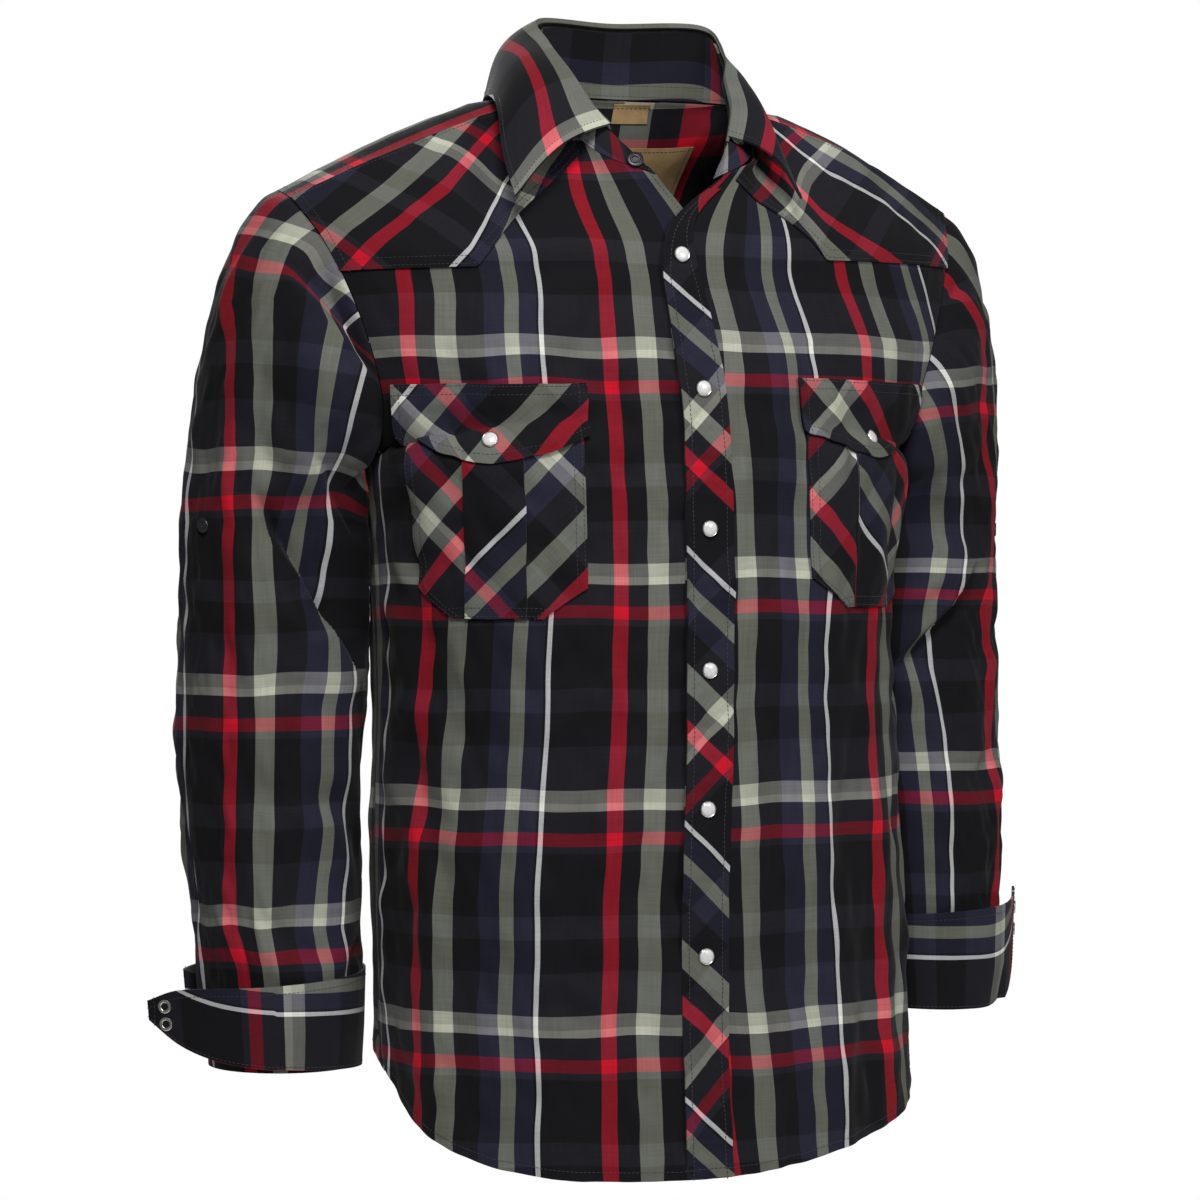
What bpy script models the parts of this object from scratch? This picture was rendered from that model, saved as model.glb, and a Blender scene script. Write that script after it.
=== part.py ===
"""Western snap shirt, filled out as it is worn, with open neck, cuffs and hem.

Metres, +Z up, +X to the wearer's left, -Y in front. The origin is at the height of the
shoulder necks, on the line that the body stands round.
"""
import bpy
import numpy as np

# ---------------------------------------------------------------- driving sizes
CLOTH = 0.0011          # wall of the body, sleeves, yokes, pockets and flaps
DOUBLE = 0.0018         # wall of the collar, stand and cuffs, which are two layers with interlining
SEAM = 0.0003           # gap between pieces that are sewn together
SIDE_TRIM = 0.0004      # what each panel is drawn back at the side seams and armholes
LIFT = 0.0006           # gap under a piece that is sewn on top of another
LABEL, LABEL_GAP = 0.0006, 0.0004       # wall of a woven label, and the gap behind it
LAP = 0.016             # half of what the left front laps over the right one, half a placket
SIDE = 95.0             # degrees from the centre front to the side seam
FRONT_HEM, BACK_HEM = -0.710, -0.720
SIDE_HEM = {1: -0.636, -1: -0.622}    # by side, 1 is the wearer's left
HEM_CURVE = {1: 2.0, -1: 4.0}         # how late the front hem curves up, by side

SNAP_DIAMETER, SNAP_HEIGHT = 0.0112, 0.0024
SNAP_HEIGHTS = (-0.104, -0.192, -0.284, -0.377, -0.468, -0.564)
BUTTON_DIAMETER, BUTTON_HEIGHT = 0.0100, 0.0022
RING_DIAMETER, RING_HEIGHT = 0.0092, 0.0010
TAB_HEIGHT, TAB_COLUMN = -0.285, 9      # nearest row and column of facets to a tab button
TAB_FORWARD, TAB_RAISED = 0.5, 0.2      # how far it is from them, in facets

ROWS_BELOW, ROWS_ABOVE = 6, 10    # rows of facets below and above the underarm
COLUMNS_NECK, COLUMNS_SHOULDER = 4, 6
NECK_SHARE = 0.36                 # share of a panel's columns that end at the neckline
SHOULDER_NECK = {1: 0.76, -1: 0.27}     # where the shoulder seam meets the neckline, by side

# Rows above the underarm are arcs. They bend so many degrees there and less the higher they are;
# the armhole's end lies so many rows past the last arc.
FRONT_BEND, BACK_BEND, BEND_LOSS = 86, 88, 5
FRONT_BEYOND, BACK_BEYOND = 0.35, 0.6
# Row behind the top of the back: how it lies from the top at the shoulder and at the centre.
RIDGE_SHOULDER, RIDGE_CENTRE = (0.0, 0.040, 0.012), (0.0, 0.007, -0.010)
# The left front rises where it laps over the right: up to this share of its columns, within this
# one, and so much more above the first snap.
LAP_END, LAP_RAMP, LAP_MORE, LAP_MORE_START = 0.27, 0.09, 0.0014, -0.13

# Rings of the trunk: height at the front, half width, depth in front and behind, how square the
# ring is (2 is an ellipse), how far it leans to the wearer's left, and how far the front edge does.
TRUNK = (
    # z, half_width, front, back, square, lean, middle
    (-0.711, 0.189, 0.131, 0.120, 2.3, 0.012, -0.008),
    (-0.560, 0.187, 0.129, 0.114, 2.3, 0.007, -0.006),
    (-0.420, 0.182, 0.125, 0.110, 2.4, 0.004, 0.003),
    (-0.310, 0.184, 0.124, 0.113, 2.6, 0.000, 0.008),
    (-0.240, 0.190, 0.124, 0.118, 2.8, -0.002, 0.008),
)

# Armhole of the wearer's left side, from the underarm to the tip of the shoulder seam.
ARMHOLE_FRONT = (
    # x, y, z
    (0.1890, 0.010, -0.240),
    (0.1885, -0.030, -0.230),
    (0.1925, -0.056, -0.200),
    (0.2040, -0.062, -0.160),
    (0.2170, -0.053, -0.120),
    (0.2300, -0.036, -0.086),
    (0.2400, -0.010, -0.063),
)
ARMHOLE_BACK = (
    # x, y, z
    (0.1890, 0.010, -0.240),
    (0.1900, 0.048, -0.229),
    (0.1960, 0.080, -0.198),
    (0.2070, 0.093, -0.158),
    (0.2190, 0.089, -0.116),
    (0.2310, 0.064, -0.078),
    (0.2400, 0.026, -0.054),
    (0.2400, -0.010, -0.063),
)

SHOULDER_LEAN = (-0.060, -0.0045)     # height, and how far the shoulders lean to the wearer's left
SHOULDER_RISE = {1: 0.005, -1: -0.002}    # how much higher the shoulder's tip is, by side

# Middle of each upper row of the front and of the back, where the row leaves the centre line.
FRONT_MIDDLE = (
    # z, y, middle
    (-0.240, -0.124, 0.008),
    (-0.205, -0.1235, 0.004),
    (-0.170, -0.122, 0.000),
    (-0.140, -0.119, -0.004),
    (-0.112, -0.114, -0.006),
    (-0.082, -0.106, -0.004),
)
BACK_MIDDLE = (
    # z, y
    (-0.240, 0.118),
    (-0.205, 0.120),
    (-0.165, 0.120),
    (-0.122, 0.116),
    (-0.075, 0.107),
    (-0.030, 0.090),
)

# The neck, from the wearer's right front end of the stand round the back to the left one: the
# seam to the body, the top of the stand, the fold of the collar and the collar's outer edge.
NECK = (
    # seam x, y, z; fold x, y, z; edge x, y, z
    (-0.0210, -0.1010, -0.0500, -0.0300, -0.0940, -0.0335, -0.1240, -0.1140, -0.0690),
    (-0.0560, -0.0830, -0.0340, -0.0500, -0.0720, -0.0060, -0.1230, -0.0870, -0.0390),
    (-0.0740, -0.0480, -0.0060, -0.0540, -0.0350, 0.0230, -0.1110, -0.0400, -0.0010),
    (-0.0760, -0.0080, 0.0110, -0.0560, 0.0040, 0.0490, -0.1000, 0.0120, 0.0130),
    (-0.0560, 0.0400, 0.0190, -0.0490, 0.0420, 0.0710, -0.0740, 0.0720, 0.0130),
    (0.0100, 0.0660, 0.0220, 0.0110, 0.0600, 0.0735, 0.0110, 0.0960, 0.0130),
    (0.0680, 0.0400, 0.0190, 0.0720, 0.0420, 0.0730, 0.0860, 0.0680, 0.0170),
    (0.0820, -0.0040, 0.0110, 0.0740, 0.0080, 0.0480, 0.0870, 0.0120, 0.0150),
    (0.0740, -0.0440, -0.0040, 0.0580, -0.0300, 0.0270, 0.0840, -0.0290, 0.0060),
    (0.0560, -0.0780, -0.0340, 0.0500, -0.0590, 0.0020, 0.0830, -0.0720, -0.0280),
    (0.0240, -0.0950, -0.0500, 0.0400, -0.0760, -0.0205, 0.0810, -0.1110, -0.0625),
)

# Rings of the hanging sleeve, below the cap: middle, radii across and from front to back, and how
# far both arms lean to the wearer's left.
SLEEVE = (
    # x, y, z, half_width, half_depth, lean
    (0.2380, 0.040, -0.290, 0.0625, 0.064, -0.0050),
    (0.2372, 0.043, -0.350, 0.0652, 0.063, -0.0035),
    (0.2398, 0.045, -0.410, 0.0635, 0.062, -0.0030),
    (0.2420, 0.045, -0.470, 0.0605, 0.060, -0.0010),
    (0.2420, 0.045, -0.530, 0.0575, 0.058, 0.0030),
    (0.2415, 0.045, -0.580, 0.0540, 0.055, 0.0055),
    (0.2415, 0.045, -0.640, 0.0505, 0.052, 0.0075),
)
SLEEVE_END = {1: -0.622, -1: -0.645}
SLEEVE_GAP, SLEEVE_LOW_GAP = 0.0022, 0.0062     # room kept to the trunk, above and beside the cuff
CUFF_HEIGHT, CUFF_GAP = 0.066, 0.0016

# Yoke's lower edge on each front: its height at the armhole, its corner, and where it meets the
# collar.
YOKE = {
    # side: edge_z, corner_x, corner_z, inner_x, inner_z
    1: (-0.098, 0.102, -0.103, 0.045, -0.052),
    -1: (-0.118, 0.143, -0.114, 0.070, -0.038),
}
POCKET_INNER, POCKET_WIDTH = 0.078, 0.120
POCKET_TOP, POCKET_BOTTOM, POCKET_CLIP = -0.214, -0.343, 0.020
FLAP_TOP, FLAP_SIDE, FLAP_POINT, FLAP_OVERHANG = -0.190, -0.226, -0.243, 0.004
RAISED = {1: 0.007, -1: 0.0}        # how much higher a side's pocket, flap and snap are
FLAP_RISE_START, FLAP_RISE = 0.004, 0.016   # a flap rises over its pocket within this height
TOP_SNAP_INSET, FLAP_SNAP_INSET = 0.012, 0.013      # first snap from the edge, flap snap from the point


# ---------------------------------------------------------------- curves and surfaces
def spline(rows, t):
    """Smooth curve through the rows, with t from 0 at the first row to 1 at the last."""
    rows = np.asarray(rows, float)
    t = np.asarray(t, float)
    place = np.clip(t, 0.0, 1.0) * (len(rows) - 1)
    i = np.minimum(place.astype(int), len(rows) - 2)
    f = (place - i)[..., None]
    before = 2 * rows[0] - rows[1]
    after = 2 * rows[-1] - rows[-2]
    padded = np.vstack([before, rows, after])
    a, b, c, d = padded[i], padded[i + 1], padded[i + 2], padded[i + 3]
    return 0.5 * (2 * b + (c - a) * f + (2 * a - 5 * b + 4 * c - d) * f**2
                  + (3 * b - a - 3 * c + d) * f**3)


def ring_point(row, degrees):
    """Point of a trunk ring, with the angle from the centre front; side 180 is the back."""
    z, half_width, front, back, square, lean, middle = row
    angle = np.radians(degrees)
    sine, cosine = np.sin(angle), np.cos(angle)
    power = 2.0 / square
    x = half_width * np.sign(sine) * np.abs(sine) ** power
    depth = np.where(cosine > 0, front, back)
    y = -depth * np.sign(cosine) * np.abs(cosine) ** power
    return x, y


def hem_height(side, share, behind):
    """Height of the shirt-tail hem, with share from 0 at the middle to 1 at the side seam."""
    middle, power = (BACK_HEM, 1.8) if behind else (FRONT_HEM, HEM_CURVE[side])
    return middle + (SIDE_HEM[side] - middle) * np.clip(share, 0, 1) ** power


def even_steps(curve, start, end, w):
    """Points of a curve at shares w of its run from one of its points to another."""
    steps = np.linalg.norm(np.diff(curve, axis=0), axis=1)
    run = np.concatenate([[0], np.cumsum(steps)])
    place = run[start] + (run[end] - run[start]) * w
    return np.stack([np.interp(place, run, curve[:, axis]) for axis in range(curve.shape[1])], axis=-1)


def trunk_rows(side, w, behind):
    """The trunk's rings from hem to underarm, for columns from the middle to the side seam."""
    rows = []
    for row in TRUNK:
        angle = np.linspace(180, SIDE, 241) if behind else np.linspace(-30, SIDE, 341)
        x, y = ring_point(row, angle)
        start = 0 if behind else int(np.argmin(np.abs(x + LAP)))
        line = even_steps(np.stack([x, y], axis=-1), start, -1, w)
        pull = 0.0 if behind else row[6] * np.clip(1 - np.abs(line[:, 0]) / 0.12, 0, 1)
        hem = hem_height(side, w, behind)
        share = (TRUNK[-1][0] - row[0]) / (TRUNK[-1][0] - TRUNK[0][0])
        z = TRUNK[-1][0] + (hem - TRUNK[-1][0]) * share
        rows.append(np.stack([side * line[:, 0] + row[5] + pull, line[:, 1], z], axis=-1))
    return rows


def arc_row(middle, edge, w, bend, lap=0.0):
    """Row from the lap past the middle of a panel to its edge, along an arc of bend degrees."""
    turn = np.radians(bend) * np.linspace(0, 1, 121)
    across = np.sin(turn) / np.sin(turn[-1])
    back = (1 - np.cos(turn)) / (1 - np.cos(turn[-1]))
    line = np.stack([middle[0] + (edge[0] - middle[0]) * across,
                     middle[1] + (edge[1] - middle[1]) * back], axis=-1)
    start = line[:1] - (np.sign(edge[0]) * lap, 0)
    line = even_steps(np.concatenate([start, line]), 0, -1, w)
    z = middle[2] + (edge[2] - middle[2]) * w**1.5
    return np.concatenate([line, z[:, None]], axis=-1)


def armhole(side, table, t):
    """Point of an armhole, from the underarm to the tip of the shoulder."""
    point = spline(table, t) * (side, 1, 1)
    lean = np.interp(point[..., 2], (TRUNK[-1][0], SHOULDER_LEAN[0]), (TRUNK[-1][5], SHOULDER_LEAN[1]))
    rise = SHOULDER_RISE[side] * np.clip((point[..., 2] + 0.13) / 0.07, 0, 1)
    return point + np.stack([lean, 0 * lean, rise], axis=-1)


def shoulder_seam(side, t):
    """Shoulder seam from the neck to the tip of the shoulder."""
    neck = neckline(SHOULDER_NECK[side])
    tip = armhole(side, ARMHOLE_FRONT, 1.0)
    t = np.asarray(t, float)[..., None]
    bow = np.array((0.0, -0.003, 0.004 + SHOULDER_RISE[side] / 2)) * np.sin(np.pi * t)
    return neck + (tip - neck) * t + bow


def neckline(u):
    """Seam between the stand and the body, from the wearer's right front end to the left one."""
    return spline([row[0:3] for row in NECK], u)


def front_top(side, w):
    """Top edge of a front: the neckline from the front edge, then the shoulder seam."""
    end = 0.0 if side < 0 else 1.0
    u = end + (SHOULDER_NECK[side] - end) * np.clip(w / NECK_SHARE, 0, 1)
    t = np.clip((w - NECK_SHARE) / (1 - NECK_SHARE), 0, 1)
    return np.where((w <= NECK_SHARE)[..., None], neckline(u), shoulder_seam(side, t))


def back_top(side, w):
    """Top edge of the back yoke: the neckline from the centre back, then the shoulder seam."""
    u = 0.5 + (SHOULDER_NECK[side] - 0.5) * np.clip(w / NECK_SHARE, 0, 1)
    t = np.clip((w - NECK_SHARE) / (1 - NECK_SHARE), 0, 1)
    return np.where((w <= NECK_SHARE)[..., None], neckline(u), shoulder_seam(side, t))


UNDERARM = len(TRUNK) - 1     # the row at the underarm


def front_rows(side, w):
    """Guide rows of a front, from hem to top, for columns w from front edge to side seam."""
    rows = trunk_rows(side, w, False)
    count = len(FRONT_MIDDLE)
    for k in range(1, count):
        z, y, middle = FRONT_MIDDLE[k]
        edge = armhole(side, ARMHOLE_FRONT, k / (count + FRONT_BEYOND))
        lap = LAP * (0.5 if k == count - 1 else 1.0)
        rows.append(arc_row((middle, y, z), edge, w, FRONT_BEND - BEND_LOSS * k, lap))
    rows.append(front_top(side, w))
    return rows


def back_rows(side, w):
    """Guide rows of half of the back, from hem over the shoulder, from centre back to side."""
    rows = trunk_rows(side, w, True)
    count = len(BACK_MIDDLE)
    for k in range(1, count):
        z, y = BACK_MIDDLE[k]
        edge = armhole(side, ARMHOLE_BACK, k / (count + BACK_BEYOND))
        start = np.array((0.002 * k, y, z))
        rows.append(arc_row(start, edge, w, BACK_BEND - BEND_LOSS * k))
    top = back_top(side, w)
    over = np.clip((w - 0.2) / 0.3, 0, 1)[..., None]
    ridge = top + np.array(RIDGE_SHOULDER) * over + np.array(RIDGE_CENTRE) * (1 - over)
    edge = armhole(side, ARMHOLE_BACK, 1 - 1 / (count + BACK_BEYOND))
    close = np.clip((w - 0.7) / 0.3, 0, 1)[..., None]
    ridge = ridge * (1 - close) + (edge + (top - armhole(side, ARMHOLE_BACK, 1.0))) * close
    rows.append(ridge)
    rows.append(top)
    return rows


def surface(rows, v):
    """Points of the surface through guide rows at heights v, as heights by columns by xyz."""
    stack = np.stack(rows)
    flat = stack.reshape(len(stack), -1)
    return spline(flat, v).reshape(len(v), *stack.shape[1:])


def meeting(own, other, heights):
    """How far a panel's side edge moves so that front and back share it below the underarm."""
    place = heights * (len(own) - 1)
    mine = surface(own, heights)[:, -1]
    theirs = surface(other, np.minimum(place / (len(other) - 1), 1))[:, -1]
    return np.where((place <= UNDERARM)[:, None], (theirs - mine) / 2, 0)[:, None]


def panel_heights(row_count):
    """Heights of the facet rows: some below the underarm, the rest above it."""
    below = np.linspace(0, UNDERARM, ROWS_BELOW + 1)
    above = np.linspace(UNDERARM, row_count - 1, ROWS_ABOVE + 1)
    return np.concatenate([below, above[1:]]) / (row_count - 1)


def panel_columns():
    """Columns of a panel, from its middle to the side: first the neck's, then the shoulder's."""
    neck = np.linspace(0, NECK_SHARE, COLUMNS_NECK + 1)
    shoulder = np.linspace(NECK_SHARE, 1, COLUMNS_SHOULDER + 1)
    return np.concatenate([neck, shoulder[1:]])


def normals(grid, wrap=False):
    """Outward unit normals of a grid of points."""
    if wrap:
        across = np.roll(grid, -1, axis=1) - np.roll(grid, 1, axis=1)
    else:
        across = np.gradient(grid, axis=1)
    up = np.gradient(grid, axis=0)
    normal = np.cross(across, up)
    return normal / np.maximum(np.linalg.norm(normal, axis=-1, keepdims=True), 1e-9)


def trimmed(grid, left=0.0, right=0.0, bottom=0.0, top=0.0):
    """The grid with its edges drawn in by these distances, which leaves the gaps of the seams."""
    grid = grid.copy()
    for amount, edge, inner in ((left, np.s_[:, 0], np.s_[:, 1]), (right, np.s_[:, -1], np.s_[:, -2]),
                                (bottom, np.s_[0], np.s_[1]), (top, np.s_[-1], np.s_[-2])):
        step = grid[inner] - grid[edge]
        grid[edge] += step / np.linalg.norm(step, axis=-1, keepdims=True) * amount
    return grid


# ---------------------------------------------------------------- meshes
def material(name, colour, roughness, metallic=0.0):
    made = bpy.data.materials.get(name) or bpy.data.materials.new(name)
    made.use_nodes = True
    shader = made.node_tree.nodes["Principled BSDF"]
    shader.inputs["Base Color"].default_value = (*colour, 1)
    shader.inputs["Roughness"].default_value = roughness
    shader.inputs["Metallic"].default_value = metallic
    return made


def add_mesh(name, points, faces, finish):
    mesh = bpy.data.meshes.new(name)
    mesh.from_pydata([tuple(p) for p in points], [], faces)
    mesh.validate()
    mesh.materials.append(finish)
    mesh.shade_smooth()
    made = bpy.data.objects.new(name, mesh)
    bpy.context.scene.collection.objects.link(made)
    return made


def shell(name, grid, thickness, finish, wrap=False, outward=None, mirrored=False):
    """Closed wall whose outer face is the grid, open only at its rims; wrap makes it a tube.

    Its facets are triangles along one diagonal, so that shells made from one grid stay parallel.
    A mirrored shell takes the other diagonal."""
    count_rows, count_columns = grid.shape[:2]
    outward = normals(grid, wrap) if outward is None else outward
    points = np.concatenate([grid.reshape(-1, 3), (grid - outward * thickness).reshape(-1, 3)])
    layer = count_rows * count_columns

    def at(i, j, inside):
        return inside * layer + i * count_columns + j % count_columns

    faces = []
    last = count_columns if wrap else count_columns - 1
    for i in range(count_rows - 1):
        for j in range(last):
            corners = [(i, j), (i, j + 1), (i + 1, j + 1), (i + 1, j)]
            if mirrored:
                corners = corners[1:] + corners[:1]
            for k in (1, 2):
                faces.append([at(*corners[c], 0) for c in (0, k, k + 1)])
                faces.append([at(*corners[c], 1) for c in (0, k + 1, k)])
    for j in range(last):
        faces.append((at(0, j, 0), at(0, j, 1), at(0, j + 1, 1), at(0, j + 1, 0)))
        top = count_rows - 1
        faces.append((at(top, j, 0), at(top, j + 1, 0), at(top, j + 1, 1), at(top, j, 1)))
    if not wrap:
        for i in range(count_rows - 1):
            faces.append((at(i, 0, 0), at(i + 1, 0, 0), at(i + 1, 0, 1), at(i, 0, 1)))
            end = count_columns - 1
            faces.append((at(i, end, 0), at(i, end, 1), at(i + 1, end, 1), at(i + 1, end, 0)))
    return add_mesh(name, points, faces, finish)


for old in list(bpy.data.objects):
    bpy.data.objects.remove(old)

BLACK_PLAID = material("plaid cotton", (0.030, 0.029, 0.033), 0.85)
YOKE_PLAID = material("plaid cotton, bias", (0.055, 0.055, 0.055), 0.85)
COLLAR_PLAID = material("plaid cotton, fused", (0.075, 0.020, 0.026), 0.82)
KRAFT = material("kraft label", (0.205, 0.115, 0.050), 0.9)
PEARL = material("pearl snap cap", (0.72, 0.71, 0.68), 0.25)
STEEL = material("nickel-plated snap", (0.55, 0.55, 0.54), 0.3, 1.0)
DARK_RESIN = material("dark resin button", (0.012, 0.012, 0.014), 0.3)


# ---------------------------------------------------------------- fronts
def front_grid(side, heights, columns):
    """Outer face of a front; the left one rises a little where it laps over the right one."""
    grid = surface(front_rows(side, columns), heights)
    edge = np.array([1.0])
    shift = meeting(front_rows(side, edge), back_rows(side, edge), heights)
    grid = grid + shift * np.clip((columns - 0.6) / 0.4, 0, 1)[None, :, None] ** 2
    if side > 0:
        ramp = np.clip((LAP_END - columns) / LAP_RAMP, 0, 1)
        clear = CLOTH + LIFT + SEAM + LAP_MORE * np.clip((grid[..., 2] - LAP_MORE_START) / 0.04, 0, 1)
        rise = clear * ramp * ramp * (3 - 2 * ramp)
        grid = grid + normals(grid) * rise[..., None]
    return grid


def coarse_front(side):
    columns = panel_columns()
    return front_grid(side, panel_heights(len(front_rows(side, columns))), columns)


def front_lean(side):
    """Outward directions of a front's points; its top row takes those of the row below."""
    lean = normals(coarse_front(side)) * side
    lean[-1, :COLUMNS_NECK] = lean[-2, :COLUMNS_NECK]
    return lean


def seam_lean(side):
    """Outward direction along the side seam, shared by the front and the back."""
    ahead = front_lean(side)[:ROWS_BELOW + 1, -1]
    behind = normals(coarse_back())[:ROWS_BELOW + 1, 0 if side > 0 else -1]
    lean = ahead + behind
    return lean / np.linalg.norm(lean, axis=-1, keepdims=True)


def front(side):
    grid = trimmed(coarse_front(side), right=SIDE_TRIM, top=SEAM)
    outward = front_lean(side)
    outward[:ROWS_BELOW + 1, -1] = seam_lean(side)
    if side < 0:
        grid, outward = grid[:, ::-1], outward[:, ::-1]
    name = "front_left" if side > 0 else "front_right"
    return shell(name, grid, CLOTH, BLACK_PLAID, outward=outward, mirrored=side > 0)


def denser(grid, axis, times):
    """Grid with straight steps put in between its rows or columns."""
    grid = np.moveaxis(grid, axis, 0)
    place = np.linspace(0, len(grid) - 1, (len(grid) - 1) * times + 1)
    i = np.minimum(place.astype(int), len(grid) - 2)
    f = (place - i).reshape((-1,) + (1,) * (grid.ndim - 1))
    return np.moveaxis(grid[i] * (1 - f) + grid[i + 1] * f, 0, axis)


class Panel:
    """Dense samples of a front's facets, which find a point by its run from the edge and height."""

    def __init__(self, side):
        self.side = side
        self.coarse = coarse_front(side)
        self.grid = denser(denser(self.coarse, 0, 10), 1, 8)

    def at(self, distance, z):
        """Point at a distance along the row from the front edge."""
        row = np.array([[np.interp(z, self.grid[:, j, 2], self.grid[:, j, axis]) for axis in range(3)]
                        for j in range(self.grid.shape[1])])
        run = np.concatenate([[0], np.cumsum(np.linalg.norm(np.diff(row, axis=0), axis=1))])
        return np.array([np.interp(distance, run, row[:, axis]) for axis in range(3)])

    def facing(self, distance, z, reach=0.005):
        """Outward direction of the patch within reach of a point."""
        across = self.at(distance + reach, z) - self.at(distance - reach, z)
        up = self.at(distance, z + reach) - self.at(distance, z - reach)
        normal = np.cross(across, up) * self.side
        return normal / np.linalg.norm(normal)

    def outline(self, corners):
        """Places across and up, seen from the front, of corners given as distance and height."""
        return [(self.at(distance, z)[0], z) for distance, z in corners]

    def layer(self, name, lift, thickness, finish):
        """Shell over the whole front, its back face this far above the front's outer face."""
        grid = trimmed(self.coarse, right=SEAM, top=SEAM)
        outward = front_lean(self.side)
        grid = grid + outward * (lift + thickness)[..., None]
        if self.side < 0:
            grid, outward = grid[:, ::-1], outward[:, ::-1]
        return shell(name, grid, thickness.max(), finish, outward=outward, mirrored=self.side > 0)


def cut_to(made, outline, near=-0.20, far=0.0):
    """Cuts a piece to an outline of places across and up, seen from the front."""
    count = len(outline)
    points = [(x, y, z) for y in (near, far) for x, z in outline]
    faces = [tuple(range(count)), tuple(range(2 * count - 1, count - 1, -1))]
    faces += [(k, k + count, (k + 1) % count + count, (k + 1) % count) for k in range(count)]
    turning = sum(a[0] * b[1] - b[0] * a[1] for a, b in zip(outline, outline[1:] + outline[:1]))
    if turning < 0:
        faces = [face[::-1] for face in faces]
    cutter = add_mesh(made.name + "_outline", points, faces, made.data.materials[0])
    combine(made, cutter, "INTERSECT")
    return made


def combine(made, other, operation):
    """Boolean of a piece with another object, which is then only a tool."""
    other.hide_render = True
    other.display_type = "WIRE"
    step = made.modifiers.new(operation.lower(), "BOOLEAN")
    step.operation = operation
    step.object = other


def front_yoke(panel):
    """Pointed yoke on a front, from its lower edge up to the neckline and the shoulder seam."""
    side = panel.side
    edge_z, corner_x, corner_z, inner_x, inner_z = YOKE[side]
    name = "front_yoke_left" if side > 0 else "front_yoke_right"
    level = np.zeros(panel.coarse.shape[:2])
    made = panel.layer(name, level + LIFT, level + CLOTH, YOKE_PLAID)
    slope = (inner_z - corner_z) / (corner_x - inner_x)
    far_in = inner_x - 0.05
    outline = [(side * 0.30, edge_z), (side * corner_x, corner_z),
               (side * far_in, inner_z + slope * 0.05), (side * far_in, 0.08), (side * 0.30, 0.08)]
    return cut_to(made, outline, far=0.05)


# ---------------------------------------------------------------- back
def back_grid(heights, columns):
    """Outer face of the whole back, from the wearer's left side to the right one."""
    edge = np.array([1.0])
    halves = []
    for side in (1, -1):
        half = surface(back_rows(side, columns), heights)
        shift = meeting(back_rows(side, edge), front_rows(side, edge), heights)
        halves.append(half + shift * np.clip((columns - 0.6) / 0.4, 0, 1)[None, :, None] ** 2)
    left, right = halves
    middle = (left[:, :1] + right[:, :1]) / 2
    return np.concatenate([left[:, :0:-1], middle, right[:, 1:]], axis=1)


BACK_SEAM = ROWS_BELOW + 4      # row of facets at the seam between the back and its yoke


def coarse_back():
    columns = panel_columns()
    return back_grid(panel_heights(len(back_rows(1, columns))), columns)


def back_and_yoke():
    grid = coarse_back()
    outward = normals(grid)
    outward[:ROWS_BELOW + 1, 0] = seam_lean(1)
    outward[:ROWS_BELOW + 1, -1] = seam_lean(-1)
    body = trimmed(grid[:BACK_SEAM + 1], SIDE_TRIM, SIDE_TRIM, 0, SEAM / 2)
    shell("back", body, CLOTH, BLACK_PLAID, outward=outward[:BACK_SEAM + 1])
    yoke = trimmed(grid[BACK_SEAM:], SEAM, SEAM, SEAM / 2, SEAM)
    shell("back_yoke", yoke, CLOTH, YOKE_PLAID, outward=outward[BACK_SEAM:])


def label(name, x_low, x_high, z_high, z_low, finish):
    """Woven label sewn inside the back yoke, just under the neck."""
    grid = coarse_back()[BACK_SEAM:]
    outward = normals(coarse_back())[BACK_SEAM:]
    made = shell(name, grid - outward * (CLOTH + LABEL_GAP), LABEL, finish, outward=outward)
    return cut_to(made, [(x_low, z_low), (x_high, z_low), (x_high, z_high), (x_low, z_high)], 0.0, 0.2)


# ---------------------------------------------------------------- sleeves and cuffs
# Ways a sleeve leaves the armhole at the shoulder and at the underarm, its push to the front
# between them, and the ways it arrives at the arm's first ring.
LEAVE_TOP, LEAVE_UNDER, LEAVE_FRONT = (0.145, 0, -0.07), (0.03, 0, -0.09), (0, -0.03, 0)
ARRIVE_TOP, ARRIVE_UNDER = (0, 0, -0.20), (0, 0, -0.05)


def armhole_ring(side):
    """Armhole, from the underarm up the front to the shoulder tip and down the back."""
    edge = np.array([1.0])
    front_heights = panel_heights(len(front_rows(side, edge)))[ROWS_BELOW:]
    back_heights = panel_heights(len(back_rows(side, edge)))[ROWS_BELOW:]
    front_edge = surface(front_rows(side, edge), front_heights)[:, 0]
    back_edge = surface(back_rows(side, edge), back_heights)[:, 0]
    return np.concatenate([front_edge, back_edge[-2:0:-1]])


def sleeve_ring(side, t):
    """Ring of the hanging sleeve, with t from 0 under the cap to 1 at its end."""
    x, y, z, half_width, half_depth, lean = spline(SLEEVE, t)
    angle = np.linspace(0, 2 * np.pi, 2 * ROWS_ABOVE, endpoint=False)
    return np.stack([lean + side * (x - half_width * np.cos(angle)), y - half_depth * np.sin(angle),
                     z + 0 * angle], axis=-1)


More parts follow.
